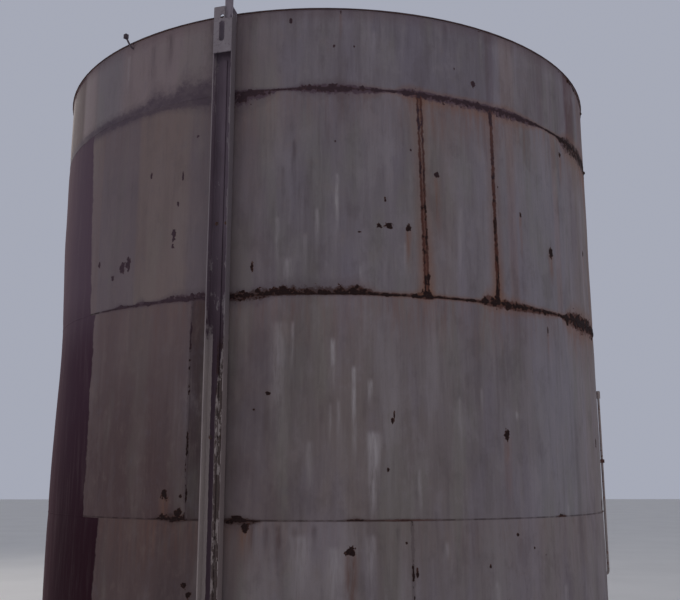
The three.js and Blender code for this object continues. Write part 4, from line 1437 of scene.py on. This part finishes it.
def add_channel(turn):
    """The channel, with sloped inner faces on its flanges, and the bar inside it."""
    half, back, front = CHANNEL_HALF, CHANNEL_BACK, CHANNEL_FRONT
    tip, inner, web = half - 0.0065, half - CHANNEL_FLANGE, back - CHANNEL_WEB
    outline = rounded([
        (-half, back, 0.003), (half, back, 0.003), (half, front, 0.001), (tip, front, 0.0035),
        (inner, web, 0.007), (-inner, web, 0.007), (-tip, front, 0.0035), (-half, front, 0.001)])
    shape = prism(outline, CHANNEL_BOTTOM, CHANNEL_TOP, 90, 0.0012)
    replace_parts(put("gauge_channel_bar", shape, CHANNEL, turn, sharp=50), "gauge_channel")

    half, back = 0.012, web - GAP
    front = back - 0.006
    outline = rounded([(-half, back, 0), (half, back, 0), (half, front, 0.0015), (-half, front, 0.0015)])
    shape = prism(outline, 0.12, 3.86, 60, 0.0008)
    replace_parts(put("gauge_strip_bar", shape, STRIP, turn, sharp=40), "gauge_strip")


def add_brackets(turn):
    shell, front = -(RADIUS + GAP), CHANNEL_BACK + GAP
    half, sheet, height = 0.035, 0.008, 0.09
    inner, seat = half - sheet, front + sheet
    bolt_places = (-0.028, 0.03)
    outline = rounded([
        (-half, front, 0.006), (half, front, 0.006), (half, shell, 0), (inner, shell, 0),
        (inner, seat, 0.003), (-inner, seat, 0.003), (-inner, shell, 0), (-half, shell, 0)])
    out = Matrix.Rotation(math.pi / 2, 4, "X")
    for number, z in enumerate(BRACKET_HEIGHTS, 1):
        clip = put(f"gauge_bracket_clip_{number}", prism(outline, z, z + height), FITTING, turn, sharp=50)
        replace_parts(clip, f"gauge_bracket_{number}")
        places = [Matrix.Translation((x, CHANNEL_BACK - CHANNEL_WEB, z + height / 2)) for x in bolt_places]
        bolts(f"gauge_bracket_bolts_{number}", [turn @ place @ out for place in places], 0.0085, 0.012)


def add_head(turn):
    """The plate at the head of the channel, notched around the conduit, with its slot and its eye."""
    half, low, high, sheet = 0.058, HEAD_BOTTOM, 4.184, 0.008
    notch_x, notch_z = 0.011, 4.104
    middle, slot_half, slot_low, slot_high, slot_round = -0.006, 0.017, 3.962, 4.09, 0.0165
    eye_z, eye_radius = 4.12, 0.013
    before, behind = -0.02, 0.03
    outline = rounded([
        (-half, low, 0.004), (half, low, 0.004), (half, notch_z, 0.003),
        (notch_x, notch_z, 0.004), (notch_x, high, 0.003), (-half, high, 0.006)])
    upright = turn @ Matrix.Translation((0, CHANNEL_FRONT - GAP, 0)) @ Matrix.Rotation(math.pi / 2, 4, "X")
    plate = put("gauge_head_plate_sheet", prism(outline, 0, sheet), HEAD, upright, smooth=False)
    slot = rectangle(middle - slot_half, middle + slot_half, slot_low, slot_high, slot_round, 8)
    slot_cutter = link("cutter", prism(slot, before, behind), upright)
    eye = round_cutter(eye_radius, before, behind, upright @ Matrix.Translation((middle, eye_z, 0)))
    subtract(plate, [slot_cutter, eye])
    soften(plate, 0.0012, 50)
    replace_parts(plate, "gauge_head_plate")


def add_post(turn):
    """The conduit from the head of the channel over the rim to its guide on the roof."""
    y = CHANNEL_FRONT + POST_RADIUS + GAP
    radius = math.hypot(GUIDE_X, GUIDE_Y)
    foot, end, bend = 3.96, roof_underside(radius) - NECK_INSIDE + 0.06, 0.095
    corners = [Vector((POST_X, y, foot)), Vector((POST_X, y, POST_TOP)), Vector((GUIDE_X, GUIDE_Y, POST_TOP)),
               Vector((GUIDE_X, GUIDE_Y, end))]
    shape = tube(bent(corners, bend, 10), POST_RADIUS, 28)
    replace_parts(put("gauge_post_pipe", shape, CONDUIT, turn, sharp=50), "gauge_post")
    repaint("gauge_post_tie", CONDUIT)

    bearing = GAUGE_BEARING + math.degrees(math.atan2(GUIDE_X, -GUIDE_Y))
    add_neck("gauge_guide_neck", "gauge_guide", GUIDE, roof_frame(bearing, radius), RUSTED_STEEL, sides=48)
    add_roof_pad("gauge_guide", GUIDE["outer"], bearing, radius)


def add_gauge():
    turn = upright_frame(GAUGE_BEARING)
    add_channel(turn)
    add_brackets(turn)
    add_head(turn)
    add_post(turn)


def add_sample_tube():
    """The small tube low on the right, which rises beside the shell, with its cap."""
    place = upright_frame(TUBE_BEARING)
    out, low, high, size, bend = 2.028, 0.78, 2.036, 0.0086, 0.026
    corners = [Vector((0, -(RADIUS + GAP), low)), Vector((0, -out, low)), Vector((0, -out, high))]
    pipe = put("sample_tube_pipe", tube(bent(corners, bend), size, 18), TUBE, place, sharp=50)
    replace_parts(pipe, "sample_tube")
    cap = [(0, 2.03), (0.013, 2.03), (0.014, 2.034), (0.014, 2.081), (0.011, 2.086), (0, 2.086)]
    turned("sample_tube_cap", cap, place @ Matrix.Translation((0, -out, 0)), TUBE, 24, 0.0008)
    repaint("sample_tube_clip", RUSTED_STEEL)


def add_rim_stub():
    """The bent pin that sticks out of the rim at the left, and its square head."""
    place = upright_frame(STUB_BEARING)
    face, low, high = -(RADIUS + GAP), 4.135, 4.193
    bend, middle, half, half_height, size = face - 0.027, face - 0.06, 0.012, 0.0144, 0.006
    points = curve(Vector((0, face, low)), Vector((0, bend, low)), Vector((0, middle, high)), 12)
    pin = put("rim_stub_pin", tube(points, size, 16), RIM, place, sharp=50)
    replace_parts(pin, "rim_stub")
    outline = rectangle(-half, half, middle - half, middle + half, 0.002, 3)
    head = put("rim_stub_head", prism(outline, high - half_height, high + half_height), RIM, place)
    soften(head, 0.0015, 50)


def add_foot():
    """The bottom plate and the fillet weld between it and the shell."""
    repaint("bottom_plate", MAROON_STEEL)
    profile = [(0.0, 0.012), (0.004, 0.006), (0.011, 0.0)]
    arcs = all_round(0.03)
    vertices = []
    for arc in arcs:
        grow = 1 + 0.25 * noise.noise(Vector((arc * 12, 2, 6)))
        for reach, rise in profile:
            point = wrap(arc, BOTTOM + 0.012, reach * grow - 0.001)
            vertices.append(Vector((point.x, point.y, BOTTOM + rise * grow - 0.0005)))
    faces = grid_faces(len(arcs), len(profile), flip=True, closed=True)
    put("foot_weld", (vertices, faces), SHELL["course_1"])


# Camera, floor and light


def add_camera():
    """The photo's camera, as its welds, rim and outline give it."""
    pitch, yaw = 11.5493, -0.8385
    data = bpy.data.cameras.new("camera")
    data.lens = 46.4715
    data.sensor_width = 36
    camera = bpy.data.objects.new("camera", data)
    camera.location = (0, -6.72651, 1.4417)
    camera.rotation_euler = (math.radians(90 + pitch), 0, math.radians(yaw))
    scene.collection.objects.link(camera)
    scene.camera = camera


def add_floor():
    size = 60
    corners = [(-size, -size, 0), (size, -size, 0), (size, size, 0), (-size, size, 0)]
    floor = link("floor", (corners, [(0, 1, 2, 3)]))
    paint = Paint("pale_floor")
    paint.color = paint.mix(paint.noise(0.8, 3).step(0.3, 0.7), rgb("eeedeb"), rgb("f3f2f0"))
    floor.data.materials.append(paint.finish(0.9))


def add_light(name, place, target, size, power, color):
    data = bpy.data.lights.new(name, "AREA")
    data.shape = "DISK"
    data.size = size
    data.energy = power
    data.color = color
    light = bpy.data.objects.new(name, data)
    light.location = place
    light.rotation_euler = (Vector(target) - Vector(place)).to_track_quat("-Z", "Y").to_euler()
    scene.collection.objects.link(light)


def add_world():
    """An even pale sky, less bright at the camera's back so that the shell keeps its shading."""
    world = bpy.data.worlds.new("studio")
    world.use_nodes = True
    nodes = Nodes(world.node_tree)
    place = nodes.add("ShaderNodeTexCoord", {}, "Generated")
    y = nodes.add("ShaderNodeSeparateXYZ", {0: place}, "Y")
    sky = nodes.mix(y.step(-0.5, 0.6), DIM_SKY, PALE_SKY)
    nodes.tree.links.new(sky.socket, nodes.tree.nodes["Background"].inputs["Color"])
    scene.world = world


add_shell()
add_seams()
add_upright_welds()
add_spots()
add_side_nozzles()
add_manway()
add_roof()
add_rim()
add_gauge()
add_sample_tube()
add_rim_stub()
add_foot()
add_camera()
add_floor()
add_world()
add_light("key", (7.5, -8.5, 7.5), (0.3, 0, 2.2), 5, 90, (1.0, 0.97, 0.95))
add_light("fill", (-8, -9, 6), (0, 0, 2.2), 6, 70, (0.95, 0.97, 1.0))
add_light("rim", (-7, 6, 8), (0, 0, 2.5), 4, 240, (1.0, 0.93, 0.85))
scene.view_settings.view_transform = "Standard"
